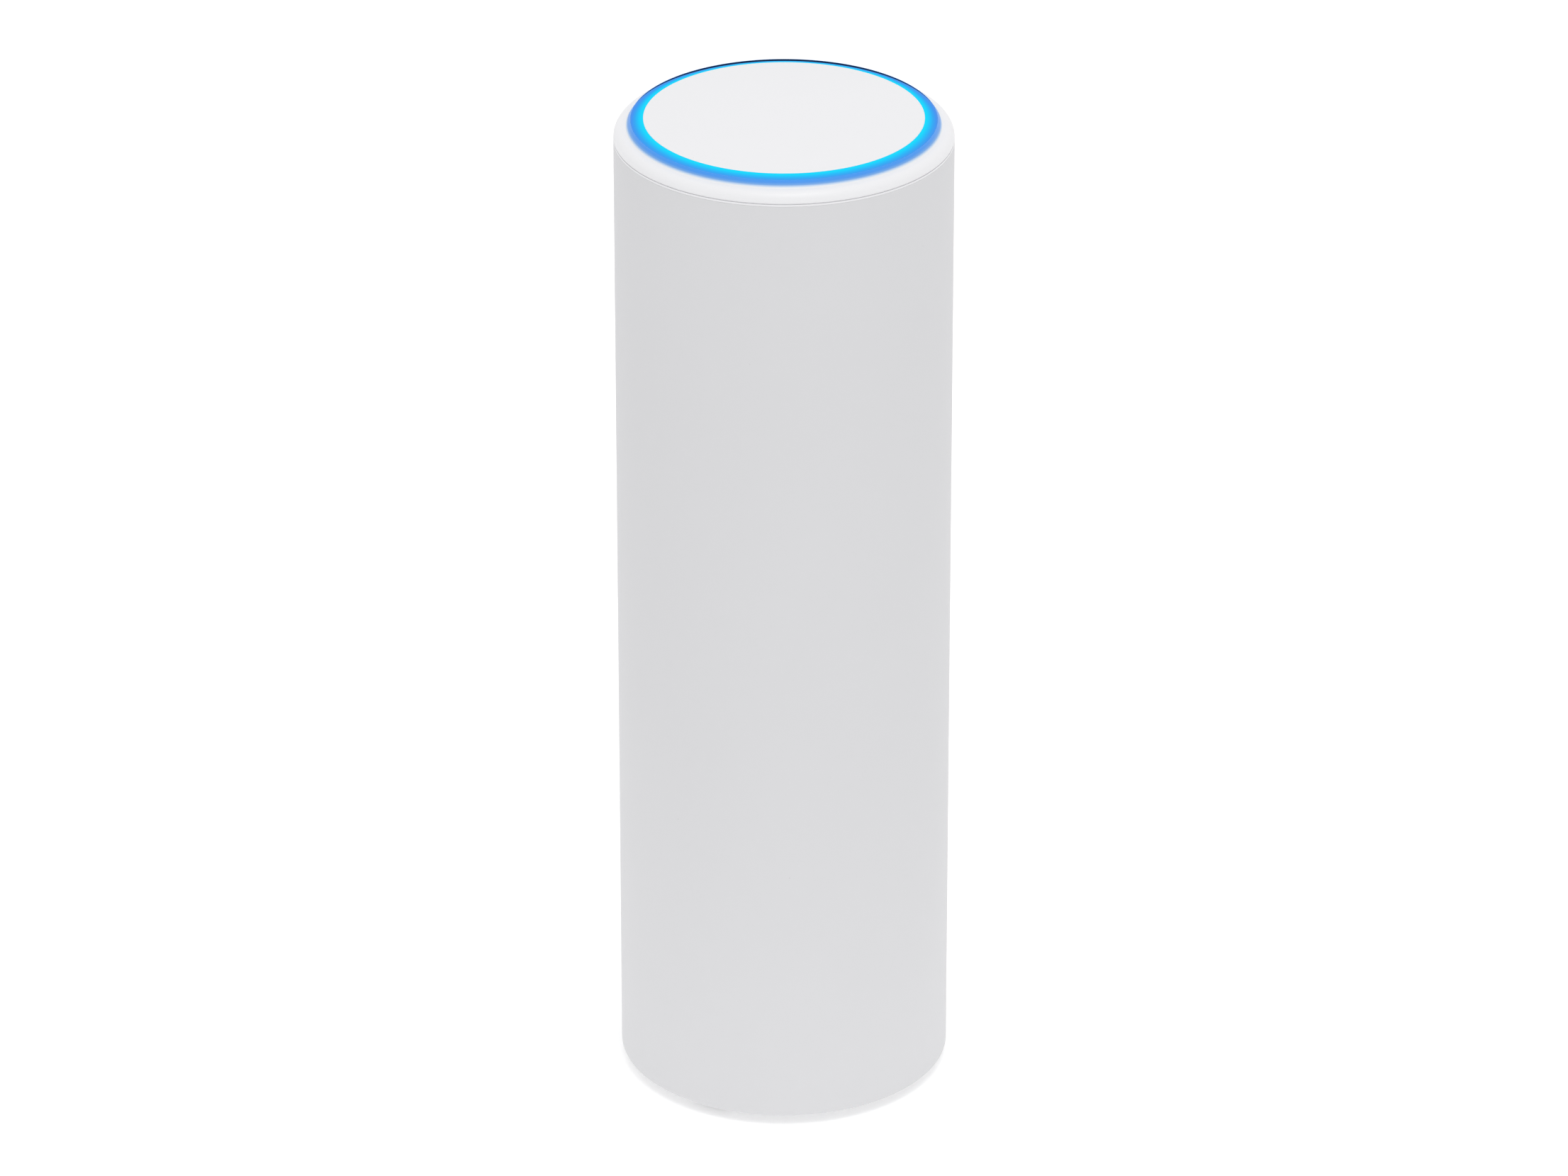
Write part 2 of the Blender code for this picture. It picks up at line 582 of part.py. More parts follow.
def make_outer_sleeve():
    seam_edge = arc((BODY_R - SEAM_ROUND, SLEEVE_TOP_Z - SEAM_ROUND), (SEAM_ROUND, SEAM_ROUND),
                    90.0, 0.0, EDGE_STEPS)
    rim_edge = arc((BODY_R - RIM_ROUND, FOOT_PROUD + RIM_ROUND), (RIM_ROUND, RIM_ROUND),
                   0.0, -90.0, EDGE_STEPS)
    rebate_top = FOOT_PROUD + REBATE_HEIGHT
    inside = [(REBATE_R, FOOT_PROUD), (REBATE_R, rebate_top), (BORE_R, rebate_top),
              (BORE_R, SLEEVE_TOP_Z)]
    sleeve = turned("outer_sleeve", seam_edge + rim_edge + inside)
    cut(sleeve, cable_notch("sleeve_notch", BORE_R - OVERRUN, BODY_R + OVERRUN))
    return settle(sleeve, SLEEVE_WHITE)


def make_shoulder_ring():
    lip_z = RING_EDGE_Z + SHOULDER_PROUD
    lip = [(SHOULDER_LIP_R, lip_z), (SHOULDER_LIP_R + LIP_CREST, lip_z)]
    roll = arc((SHOULDER_ROLL_R, SEAM_Z), (SHOULDER_WIDTH, lip_z - LIP_HEIGHT - SEAM_Z),
               90.0, 0.0, SHOULDER_STEPS)
    groove_half = O_RING_SECTION / 2 + O_RING_GAP
    groove_r = O_RING_R - groove_half
    skirt = [(CHASSIS_R, SEAM_Z), (CHASSIS_R, O_RING_Z + groove_half),
             (groove_r, O_RING_Z + groove_half), (groove_r, O_RING_Z - groove_half),
             (CHASSIS_R, O_RING_Z - groove_half), (CHASSIS_R, FLANGE_Z)]
    inside = [(FLANGE_BORE_R, FLANGE_Z), (FLANGE_BORE_R, FLANGE_TOP_Z),
              (SHOULDER_BORE_R, FLANGE_TOP_Z), (SHOULDER_BORE_R, LEDGE_Z),
              (SHOULDER_LIP_R, LEDGE_Z)]
    shoulder = turned("shoulder_ring", lip + roll + skirt + inside)
    for degrees in TOP_SCREW_ANGLES:
        cut(shoulder, rod("flange_hole", SCREW_HOLE_R, polar(TOP_SCREW_R, degrees, FLANGE_Z - OVERRUN),
                          polar(TOP_SCREW_R, degrees, FLANGE_TOP_Z + OVERRUN), SCREW_TURN))
    return settle(shoulder, SHOULDER_WHITE)


def make_shoulder_o_ring():
    half = O_RING_SECTION / 2
    section = arc((O_RING_R, O_RING_Z), (half, half), 90.0, -270.0, O_RING_TURN)[:-1]
    return settle(turned("shoulder_o_ring", section), SEAL_BLACK)


def make_light_ring():
    rim_z = LEDGE_Z + FIT_GAP
    start = Vector((RING_BORE_R, BODY_HEIGHT - RING_STEP))
    end = Vector((RING_R, RING_EDGE_Z))
    face = []
    for step in range(RING_STEPS + 1):
        share = step / RING_STEPS
        flat = start.lerp(end, share)
        face.append((flat.x, flat.y + RING_CROWN * 4 * share * (1 - share)))
    below = [(RING_R, rim_z), (GUIDE_R, rim_z), (GUIDE_R, GUIDE_Z), (GUIDE_BORE_R, GUIDE_Z),
             (GUIDE_BORE_R, DISC_SEAT_Z), (RING_BORE_R, DISC_SEAT_Z)]
    return settle(turned("light_ring", face + below), RING_BLUE)


def make_light_ring_seal():
    radii = (RING_R + SEAL_GAP, RING_R + SEAL_GAP + SEAL_WIDTH)
    heights = (LEDGE_Z + SEAL_GAP, RING_EDGE_Z + SEAL_PROUD)
    return settle(turned("light_ring_seal", ring_profile(radii, heights)), SEAL_BLACK)


def make_top_disc():
    edge = arc((DISC_R - DISC_ROUND, BODY_HEIGHT - DISC_ROUND), (DISC_ROUND, DISC_ROUND),
               90.0, 0.0, EDGE_STEPS)
    profile = [(0.0, BODY_HEIGHT)] + edge + [(DISC_R, DISC_BOTTOM_Z), (0.0, DISC_BOTTOM_Z)]
    return settle(turned("top_disc", profile, closed=False), DISC_WHITE)


def make_light_baffle():
    heights = (LED_BOARD_TOP_Z + FIT_GAP, DISC_SEAT_Z)
    return settle(turned("light_baffle", ring_profile((BAFFLE_BORE_R, BAFFLE_R), heights)), BAFFLE_WHITE)


def make_led_board():
    radii = (FLANGE_BORE_R, GUIDE_R)
    board = turned("led_board", ring_profile(radii, (LED_BOARD_Z, LED_BOARD_TOP_Z)))
    for degrees in TOP_SCREW_ANGLES:
        cut(board, rod("led_board_hole", SCREW_HOLE_R, polar(TOP_SCREW_R, degrees, LED_BOARD_Z - OVERRUN),
                       polar(TOP_SCREW_R, degrees, LED_BOARD_TOP_Z + OVERRUN), SCREW_TURN))
    return settle(board, BOARD_GREEN)


def make_leds():
    half = LED_SIZE / 2
    for number in range(LED_COUNT):
        degrees = 360.0 * (number + 0.5) / LED_COUNT
        led = block(f"led_{number + 1}", (-half, -half, 0.0), (half, half, LED_HEIGHT))
        led.location = polar(LED_R, degrees, LED_Z + LED_HEIGHT / 2)
        led.rotation_euler.z = math.radians(degrees)
        settle(led, LED_WHITE)


def make_led_cable():
    off_board = PART_FRONT - LED_CABLE_THICKNESS
    landing_z = LED_BOARD_TOP_Z + LED_CABLE_THICKNESS
    window_y = BOARD_FACE - WINDOW_DEPTH / 2
    crest_z = landing_z + LED_CABLE_BEND
    route = [(off_board, LEAD_Z), (off_board, BOARD_TOP_Z), (window_y, DECK_TOP_Z), (window_y, landing_z),
             (window_y - LED_CABLE_BEND, crest_z), (-FLANGE_BORE_R, crest_z),
             (-FLANGE_BORE_R - LED_CABLE_BEND, landing_z), (-TOP_SCREW_R, landing_z)]
    return settle(ribbon("led_cable", route, LED_CABLE_WIDTH, LED_CABLE_THICKNESS), CABLE_WHITE)


# Foot: collar, bayonet cover, rubber foot, grommet

def make_base_collar():
    rim_r = REBATE_R - FIT_GAP
    rim_top = FOOT_PROUD + REBATE_HEIGHT - FIT_GAP
    profile = [(CHASSIS_R, COLLAR_TOP_Z), (CHASSIS_R, rim_top), (rim_r, rim_top),
               (rim_r, FOOT_PROUD), (COLLAR_BORE_R, FOOT_PROUD), (COLLAR_BORE_R, COLLAR_TOP_Z)]
    collar = turned("base_collar", profile)
    for degrees in EAR_ANGLES:
        low = polar(EAR_CIRCLE_R, degrees, EAR_Z)
        high = polar(EAR_CIRCLE_R, degrees, EAR_TOP_Z)
        fuse(collar, rod("collar_ear", EAR_R, low, high))
    for degrees in EAR_ANGLES:
        low = polar(EAR_CIRCLE_R, degrees, EAR_Z - OVERRUN)
        high = polar(EAR_CIRCLE_R, degrees, EAR_TOP_Z + OVERRUN)
        cut(collar, rod("ear_hole", SCREW_HOLE_R, low, high, SCREW_TURN))
    radii = (COLLAR_BORE_R - BITE, POCKET_R)
    for degrees in BAYONET_ANGLES:
        cut(collar, sector("bayonet_run", radii, (LUG_Z - RUN_GAP, LUG_TOP_Z + RUN_GAP),
                           degrees - TWIST_DEG / 2, LUG_WIDTH_DEG + TWIST_DEG + 2 * LUG_PLAY_DEG))
        cut(collar, sector("bayonet_entry", radii, (FOOT_PROUD - OVERRUN, LUG_Z),
                           degrees - TWIST_DEG, LUG_WIDTH_DEG + 2 * ENTRY_PLAY_DEG))
    cut(collar, cable_notch("collar_notch", COLLAR_BORE_R - OVERRUN, REBATE_R + OVERRUN))
    return settle(collar, BASE_GREY)


def make_base_cover():
    groove_z = FOOT_PROUD + FOOT_SUNK + FIT_GAP
    profile = [(0.0, COVER_FLOOR_Z), (PLUG_BORE_R, COVER_FLOOR_Z), (PLUG_BORE_R, PLUG_TOP_Z),
               (COVER_R, PLUG_TOP_Z), (COVER_R, FOOT_PROUD), (FOOT_GROOVE_R, FOOT_PROUD),
               (FOOT_GROOVE_R, groove_z), (FOOT_GROOVE_BORE_R, groove_z),
               (FOOT_GROOVE_BORE_R, FOOT_PROUD), (0.0, FOOT_PROUD)]
    cover = turned("base_cover", profile, closed=False)
    for degrees in BAYONET_ANGLES:
        fuse(cover, sector("bayonet_lug", (COVER_R - BITE, LUG_R), (LUG_Z, LUG_TOP_Z),
                           degrees, LUG_WIDTH_DEG))
    slot_low = (-CABLE_SLOT_HALF, -CABLE_SLOT_HALF, FOOT_PROUD - OVERRUN)
    slot_high = (CABLE_SLOT_HALF, COVER_R + OVERRUN, PLUG_TOP_Z + OVERRUN)
    cut(cover, round_ended_block("cable_slot", slot_low, slot_high, (0, -1, 0), 2))
    for degrees in GRIP_ANGLES:
        below = polar(GRIP_CIRCLE_R, degrees, FOOT_PROUD - OVERRUN)
        dimple_top = polar(GRIP_CIRCLE_R, degrees, FOOT_PROUD + GRIP_DEPTH)
        cut(cover, rod("finger_grip", GRIP_DIAMETER / 2, below, dimple_top))
    return settle(cover, BASE_GREY)


def make_foot_ring():
    top = FOOT_PROUD + FOOT_SUNK
    outer_edge = arc((FOOT_R - FOOT_ROUND, FOOT_ROUND), (FOOT_ROUND, FOOT_ROUND), 0.0, -90.0, EDGE_STEPS)
    inner_edge = arc((FOOT_BORE_R + FOOT_ROUND, FOOT_ROUND), (FOOT_ROUND, FOOT_ROUND),
                     -90.0, -180.0, EDGE_STEPS)
    foot = turned("foot_ring", [(FOOT_R, top)] + outer_edge + inner_edge + [(FOOT_BORE_R, top)])
    half = CABLE_SLOT_HALF + FIT_GAP
    cut(foot, block("foot_gap", (-half, 0.0, -OVERRUN), (half, FOOT_R + OVERRUN, top + OVERRUN)))
    return settle(foot, FOOT_RUBBER)


def make_cable_grommet():
    neck_half = CABLE_SLOT_HALF - FIT_GAP
    flange_half = CABLE_SLOT_HALF + GROMMET_LIP
    neck_end = math.sqrt(COVER_R ** 2 - neck_half ** 2) - FIT_GAP
    flange_end = math.sqrt(PLUG_BORE_R ** 2 - flange_half ** 2) - FIT_GAP
    flange_start = flange_end - GROMMET_FLANGE
    neck_top = CABLE_Z + CABLE_DIAMETER / 2 + GROMMET_WALL
    grommet = block("cable_grommet", (-flange_half, flange_start, COVER_FLOOR_Z + FIT_GAP),
                    (flange_half, flange_end, neck_top + BITE))
    fuse(grommet, block("grommet_neck", (-neck_half, flange_start + BITE, FOOT_PROUD + FIT_GAP),
                        (neck_half, neck_end, neck_top)))
    cut(grommet, rod("grommet_hole", CABLE_DIAMETER / 2, (0.0, flange_start - OVERRUN, CABLE_Z),
                     (0.0, neck_end + OVERRUN, CABLE_Z)))
    slit_low = (-GROMMET_SLIT / 2, flange_start - OVERRUN, FOOT_PROUD - OVERRUN)
    cut(grommet, block("grommet_slit", slit_low, (GROMMET_SLIT / 2, neck_end + OVERRUN, CABLE_Z)))
    return settle(grommet, GROMMET_RUBBER)


# Chassis and screws

def make_chassis():
    chassis = rod("chassis", CHASSIS_R, (0.0, 0.0, BULKHEAD_Z), (0.0, 0.0, BULKHEAD_TOP_Z), FINE_TURN)
    for side in (-1, 1):
        near = sorted((side * RAIL_INNER_X, side * RAIL_OUTER_X))
        fuse(chassis, block("board_rail", (near[0], RAIL_FRONT, BULKHEAD_TOP_Z - BITE),
                            (near[1], RAIL_BACK, DECK_Z + BITE)))
    fuse(chassis, rod("top_deck", CHASSIS_R, (0.0, 0.0, DECK_Z), (0.0, 0.0, DECK_TOP_Z), FINE_TURN))
    boss_top = BULKHEAD_TOP_Z + SCREW_GRIP + BOSS_ROOF
    boss_bottom = DECK_TOP_Z - SCREW_GRIP - BOSS_ROOF
    for degrees in EAR_ANGLES:
        fuse(chassis, rod("bulkhead_boss", BOSS_R, polar(EAR_CIRCLE_R, degrees, BULKHEAD_TOP_Z - BITE),
                          polar(EAR_CIRCLE_R, degrees, boss_top)))
    for degrees in TOP_SCREW_ANGLES:
        fuse(chassis, rod("deck_boss", BOSS_R, polar(TOP_SCREW_R, degrees, boss_bottom),
                          polar(TOP_SCREW_R, degrees, DECK_Z + BITE)))
    for degrees in EAR_ANGLES:
        cut(chassis, rod("bulkhead_hole", SCREW_HOLE_R, polar(EAR_CIRCLE_R, degrees, BULKHEAD_Z - OVERRUN),
                         polar(EAR_CIRCLE_R, degrees, BULKHEAD_TOP_Z + SCREW_GRIP + FIT_GAP), SCREW_TURN))
    for degrees in TOP_SCREW_ANGLES:
        cut(chassis, rod("deck_hole", SCREW_HOLE_R, polar(TOP_SCREW_R, degrees, DECK_TOP_Z + OVERRUN),
                         polar(TOP_SCREW_R, degrees, DECK_TOP_Z - SCREW_GRIP - FIT_GAP), SCREW_TURN))
    groove_x = BOARD_HALF + FIT_GAP
    cut(chassis, block("board_groove", (-groove_x, BOARD_FACE - FIT_GAP, BOARD_Z - FIT_GAP),
                       (groove_x, BOARD_BACK + FIT_GAP, BOARD_TOP_Z + FIT_GAP)))
    jack_x = JACK_HALF + FIT_GAP
    cut(chassis, block("jack_opening", (-jack_x, JACK_FRONT - FIT_GAP, BULKHEAD_Z - OVERRUN),
                       (jack_x, JACK_BACK + FIT_GAP, BULKHEAD_TOP_Z + OVERRUN)))
    cut(chassis, rod("reset_hole", RESET_TIP_DIAMETER / 2 + RUN_GAP,
                     (RESET_X, RESET_Y, BULKHEAD_Z - OVERRUN),
                     (RESET_X, RESET_Y, BULKHEAD_TOP_Z + OVERRUN)))
    window_x = LED_CABLE_WIDTH / 2 + WINDOW_MARGIN
    cut(chassis, block("cable_window", (-window_x, BOARD_FACE - WINDOW_DEPTH, DECK_Z - OVERRUN),
                       (window_x, BOARD_FACE, DECK_TOP_Z + OVERRUN)))
    return settle(chassis, CHASSIS_BLACK)


def make_screw(name, seat, head_way, shank):
    """A pan-head screw whose head stands on the seat and points along head_way."""
    head_r = SCREW_HEAD_DIAMETER / 2
    recess_r = SCREW_RECESS_DIAMETER / 2
    recess_z = SCREW_HEAD_HEIGHT - SCREW_RECESS_DEPTH
    profile = [(0.0, recess_z), (recess_r, recess_z), (recess_r, SCREW_HEAD_HEIGHT),
               (head_r, SCREW_HEAD_HEIGHT), (head_r, 0.0), (SCREW_R, 0.0), (SCREW_R, -shank),
               (0.0, -shank)]
    screw = turned(name, profile, SCREW_TURN, closed=False)
    screw.location = seat
    screw.rotation_mode = "QUATERNION"
    screw.rotation_quaternion = Vector(head_way).to_track_quat("Z", "Y")
    return settle(screw, SCREW_STEEL)


def make_screws():
    base_seat = EAR_Z - FIT_GAP
    top_seat = LED_BOARD_TOP_Z + FIT_GAP
    sink_seat = BOARD_FACE - FIT_GAP
    for number, degrees in enumerate(EAR_ANGLES, 1):
        make_screw(f"base_screw_{number}", polar(EAR_CIRCLE_R, degrees, base_seat), (0, 0, -1),
                   BULKHEAD_TOP_Z + SCREW_GRIP - base_seat)
    for number, degrees in enumerate(TOP_SCREW_ANGLES, 1):
        make_screw(f"top_screw_{number}", polar(TOP_SCREW_R, degrees, top_seat), (0, 0, 1),
                   top_seat - DECK_TOP_Z + SCREW_GRIP)
    for number, (x, z) in enumerate(leg_places(), 1):
        make_screw(f"heat_sink_screw_{number}", Vector((x, sink_seat, z)), (0, -1, 0),
                   SINK_FRONT + SINK_PLATE / 2 - sink_seat)


# Main board and what stands on it

def leg_places():
    heights = (SHIELD_Z + LEG_INSET, SHIELD_TOP_Z - LEG_INSET)
    return [(x, z) for z in heights for x in (-LEG_X, LEG_X)]


def make_main_board():
    board = block("main_board", (-BOARD_HALF, BOARD_FACE, BOARD_Z), (BOARD_HALF, BOARD_BACK, BOARD_TOP_Z))
    for x, z in leg_places():
        cut(board, rod("board_hole", SCREW_HOLE_R, (x, BOARD_FACE - OVERRUN, z),
                       (x, BOARD_BACK + OVERRUN, z), SCREW_TURN))
    return settle(board, BOARD_GREEN)


def make_jack():
    wall = JACK_SHELL_WALL
    shell = block("jack_shell", (-JACK_HALF, JACK_FRONT, JACK_Z), (JACK_HALF, JACK_BACK, JACK_TOP_Z))
    cut(shell, block("shell_inside", (wall - JACK_HALF, JACK_FRONT + wall, JACK_Z - OVERRUN),
                     (JACK_HALF - wall, JACK_BACK - wall, JACK_TOP_Z - wall)))
    settle(shell, SHELL_TIN)
    skin = JACK_SKIN
    insert = block("jack_insert", (skin - JACK_HALF, JACK_FRONT + skin, JACK_Z + JACK_LINER_GAP),
                   (JACK_HALF - skin, JACK_BACK - skin, JACK_TOP_Z - skin))
    cut(insert, block("socket", (-SOCKET_WIDTH / 2, SOCKET_FRONT, JACK_Z - OVERRUN),
                      (SOCKET_WIDTH / 2, SOCKET_BACK, SOCKET_TOP_Z)))
    cut(insert, block("latch_channel", (-LATCH_WIDTH / 2, LATCH_FRONT, JACK_Z - OVERRUN),
                      (LATCH_WIDTH / 2, SOCKET_FRONT + BITE, JACK_Z + LATCH_DEPTH)))
    settle(insert, JACK_BLACK)


def make_jack_contacts():
    """Eight sprung fingers that lean into the socket from a common bar at its back."""
    last = CONTACT_PITCH * (CONTACT_COUNT - 1) / 2
    bar_top = SOCKET_TOP_Z - FIT_GAP
    bar_back = SOCKET_BACK - FIT_GAP
    bar_half = last + CONTACT_WIDTH
    contacts = block("jack_contacts", (-bar_half, bar_back - CONTACT_BAR, bar_top - CONTACT_BAR),
                     (bar_half, bar_back, bar_top))
    half = Vector((CONTACT_WIDTH, CONTACT_THICKNESS, CONTACT_LENGTH)) / 2
    lean = math.radians(CONTACT_LEAN_DEG)
    root = Vector((0.0, bar_back - CONTACT_BAR / 2, bar_top - CONTACT_BAR / 2))
    reach = Vector((0.0, -math.sin(lean), -math.cos(lean))) * half.z
    for number in range(CONTACT_COUNT):
        finger = block("contact_finger", -half, half)
        finger.rotation_euler.x = -lean
        finger.location = root + reach + Vector((number * CONTACT_PITCH - last, 0.0, 0.0))
        fuse(contacts, finger)
    return settle(contacts, CONTACT_GOLD)


def make_reset():
    tip_z = BULKHEAD_Z + RESET_SUNK
    flange_top = RESET_FLANGE_Z + RESET_FLANGE_HEIGHT
    stem_top = SWITCH_Z + SWITCH_SOCKET - RESET_TRAVEL - RUN_GAP
    tip_r = RESET_TIP_DIAMETER / 2
    flange_r = RESET_FLANGE_DIAMETER / 2
    stem_r = RESET_STEM_DIAMETER / 2
    profile = [(0.0, stem_top), (stem_r, stem_top), (stem_r, flange_top), (flange_r, flange_top),
               (flange_r, RESET_FLANGE_Z), (tip_r, RESET_FLANGE_Z), (tip_r, tip_z), (0.0, tip_z)]
    button = turned("reset_button", profile, ROUND_TURN, closed=False)
    button.location = (RESET_X, RESET_Y, 0.0)
    settle(button, BUTTON_GREY)
    half = SWITCH_WIDTH / 2
    switch = block("reset_switch", (RESET_X - half, RESET_Y - half, SWITCH_Z),
                   (RESET_X + half, RESET_Y + half, SWITCH_Z + SWITCH_HEIGHT))
    cut(switch, rod("switch_socket", stem_r + RUN_GAP, (RESET_X, RESET_Y, SWITCH_Z - OVERRUN),
                    (RESET_X, RESET_Y, SWITCH_Z + SWITCH_SOCKET)))
    settle(switch, CHIP_BLACK)


def row_places(sizes):
    """The middles, across the board, of components that stand side by side."""
    total = sum(size[0] for size in sizes) + PART_SPACING * (len(sizes) - 1)
    left = -total / 2
    middles = []
    for size in sizes:
        middles.append(left + size[0] / 2)
        left += size[0] + PART_SPACING
    return middles


def front_component(name, size, x, bottom, finish):
    part = block(name, (x - size[0] / 2, PART_FRONT - size[1], bottom),
                 (x + size[0] / 2, PART_FRONT, bottom + size[2]))
    soften(part, PART_ROUND)
    return settle(part, finish)


def make_power_parts():
    magnetics_x, inductor_x = row_places((MAGNETICS_SIZE, INDUCTOR_SIZE))
    front_component("lan_magnetics", MAGNETICS_SIZE, magnetics_x, POWER_ROW_Z, CHIP_BLACK)
    front_component("power_inductor", INDUCTOR_SIZE, inductor_x, POWER_ROW_Z, FERRITE_GREY)
    transformer_x, capacitor_x = row_places((TRANSFORMER_SIZE, CAPACITOR_SIZE))
    front_component("poe_transformer", TRANSFORMER_SIZE, transformer_x, SUPPLY_ROW_Z, FERRITE_GREY)
    capacitor_r = CAPACITOR_SIZE[0] / 2
    middle_z = SUPPLY_ROW_Z + capacitor_r
    capacitor = rod("bulk_capacitor", capacitor_r, (capacitor_x, PART_FRONT, middle_z),
                    (capacitor_x, PART_FRONT - CAPACITOR_SIZE[1], middle_z))
    soften(capacitor, PART_ROUND)
    settle(capacitor, CAN_SILVER)


def make_radio_parts():
    size = (2 * SHIELD_HALF, SHIELD_DEPTH, SHIELD_HEIGHT)
    upper_z = SHIELD_Z + SHIELD_HEIGHT + PART_SPACING
    front_component("radio_shield_lower", size, 0.0, SHIELD_Z, CAN_SILVER)
    front_component("radio_shield_upper", size, 0.0, upper_z, CAN_SILVER)
    processor_z = SHIELD_Z + SHIELD_HEIGHT / 2
    memory_z = upper_z + SHIELD_HEIGHT / 2
    for name, chip, middle in (("processor", PROCESSOR_SIZE, processor_z),
                               ("memory_chip", MEMORY_SIZE, memory_z)):
        part = block(name, (-chip[0] / 2, PART_BACK, middle - chip[2] / 2),
                     (chip[0] / 2, PART_BACK + chip[1], middle + chip[2] / 2))
        settle(part, CHIP_BLACK)
    pad_x = PROCESSOR_SIZE[0] / 2
    pad_z = PROCESSOR_SIZE[2] / 2
    pad = block("thermal_pad", (-pad_x, PAD_FRONT, processor_z - pad_z),
                (pad_x, PAD_FRONT + PAD_THICKNESS, processor_z + pad_z))
    settle(pad, PAD_GREY)


def make_heat_sink():
    """A plate on four legs, with upright fins that reach out towards the round sleeve."""
    sink = block("heat_sink", (-SINK_HALF, SINK_FRONT, SHIELD_Z),
                 (SINK_HALF, SINK_PLATE_BACK, SHIELD_TOP_Z))
    tip_r = BORE_R - SINK_AIR_GAP
    first = FIN_MARGIN - SINK_HALF
    pitch = -2 * first / (FIN_COUNT - 1)
    for number in range(FIN_COUNT):
        x = first + number * pitch
        tip = math.sqrt(tip_r ** 2 - (abs(x) + FIN_THICKNESS / 2) ** 2)
        fuse(sink, block("sink_fin", (x - FIN_THICKNESS / 2, SINK_PLATE_BACK - BITE, SHIELD_Z + BITE),
                         (x + FIN_THICKNESS / 2, tip, SHIELD_TOP_Z - BITE)))
    for x, z in leg_places():
        fuse(sink, rod("sink_leg", LEG_DIAMETER / 2, (x, BOARD_BACK + FIT_GAP, z),
                       (x, SINK_FRONT + BITE, z)))
    for x, z in leg_places():
        cut(sink, rod("leg_hole", SCREW_HOLE_R, (x, BOARD_BACK - OVERRUN, z),
                      (x, SINK_FRONT + SINK_PLATE / 2 + FIT_GAP, z), SCREW_TURN))
    return settle(sink, SINK_ALUMINIUM)


# Antennas

def make_antennas():
    carrier_edge = math.degrees(math.asin((RAIL_FRONT - FIT_GAP) / CARRIER_R))
    carrier = sector("antenna_carrier", (CARRIER_R - CARRIER_WALL, CARRIER_R), (SHIELD_Z, CARRIER_TOP_Z),
                     270.0, 180.0 + 2 * carrier_edge)
    settle(carrier, CARRIER_GREY)
    radii = (ANTENNA_BORE_R, ANTENNA_R)
    bottom = ANTENNA_TOP_Z - ANTENNA_HEIGHT
    for number, degrees in enumerate(ANTENNA_ANGLES, 1):
        antenna = sector(f"antenna_{number}", radii, (bottom, ANTENNA_TOP_Z), degrees, ANTENNA_WIDTH_DEG)
        cut(antenna, sector("antenna_slot", (ANTENNA_BORE_R - OVERRUN, ANTENNA_R + OVERRUN),
                            (bottom + ANTENNA_FOOT, ANTENNA_TOP_Z + OVERRUN),
                            degrees + ANTENNA_SLOT_OFF_DEG, ANTENNA_SLOT_DEG))
        settle(antenna, ANTENNA_COPPER)


def make_antenna_leads():
    """Thin coaxial leads from the board over the carrier's top edge to each antenna."""
    near, far = (BOARD_HALF - inset for inset in LEAD_INSETS)
    off_board = PART_FRONT - LEAD_DIAMETER
    inside_r = CARRIER_R - CARRIER_WALL - LEAD_DIAMETER
    end_z = ANTENNA_TOP_Z + LEAD_DIAMETER / 2
    for number, (x, degrees) in enumerate(zip((-near, -far, far, near), ANTENNA_ANGLES), 1):
        route = [(x, off_board, LEAD_Z), (x, off_board - 2 * LEAD_DIAMETER, LEAD_Z + LEAD_DIAMETER),
                 polar(inside_r, degrees, CARRIER_TOP_Z + LEAD_HUMP / 2),
                 polar(CARRIER_R - CARRIER_WALL / 2, degrees, CARRIER_TOP_Z + LEAD_HUMP),
                 polar(LEAD_R, degrees, CARRIER_TOP_Z + LEAD_HUMP / 2),
                 polar(LEAD_R, degrees, CARRIER_TOP_Z - LEAD_HUMP), polar(LEAD_R, degrees, end_z)]
        wire(f"antenna_lead_{number}", route, LEAD_DIAMETER, LEAD_BLACK)


# Assembly

make_outer_sleeve()
make_shoulder_ring()
make_shoulder_o_ring()
make_light_ring()
make_light_ring_seal()
make_top_disc()
make_light_baffle()
make_led_board()
make_leds()
make_led_cable()
make_base_collar()
base_cover = make_base_cover()
ride_along(make_foot_ring(), base_cover)
ride_along(make_cable_grommet(), base_cover)
make_chassis()
make_screws()
make_main_board()
make_jack()
make_jack_contacts()
make_reset()
make_power_parts()
make_radio_parts()
make_heat_sink()
make_antennas()
make_antenna_leads()
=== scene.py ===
# %% [markdown]
# # Dressing a mesh wifi node
#
# The node is a slim white tube that stands on a desk, with a lit ring round its top. Its
# engineering model is finished: each piece has its size, its place and its joint. This lesson
# gives the model its looks. The frame is loaded first and stays as it is. Then come the camera,
# the light and the finishes, and at last the pieces, from the lit top down to the rubber foot
# and in to the boards.

# %% Load the frame
import json
import math

import bmesh
import bpy
from mathutils import Matrix, Vector

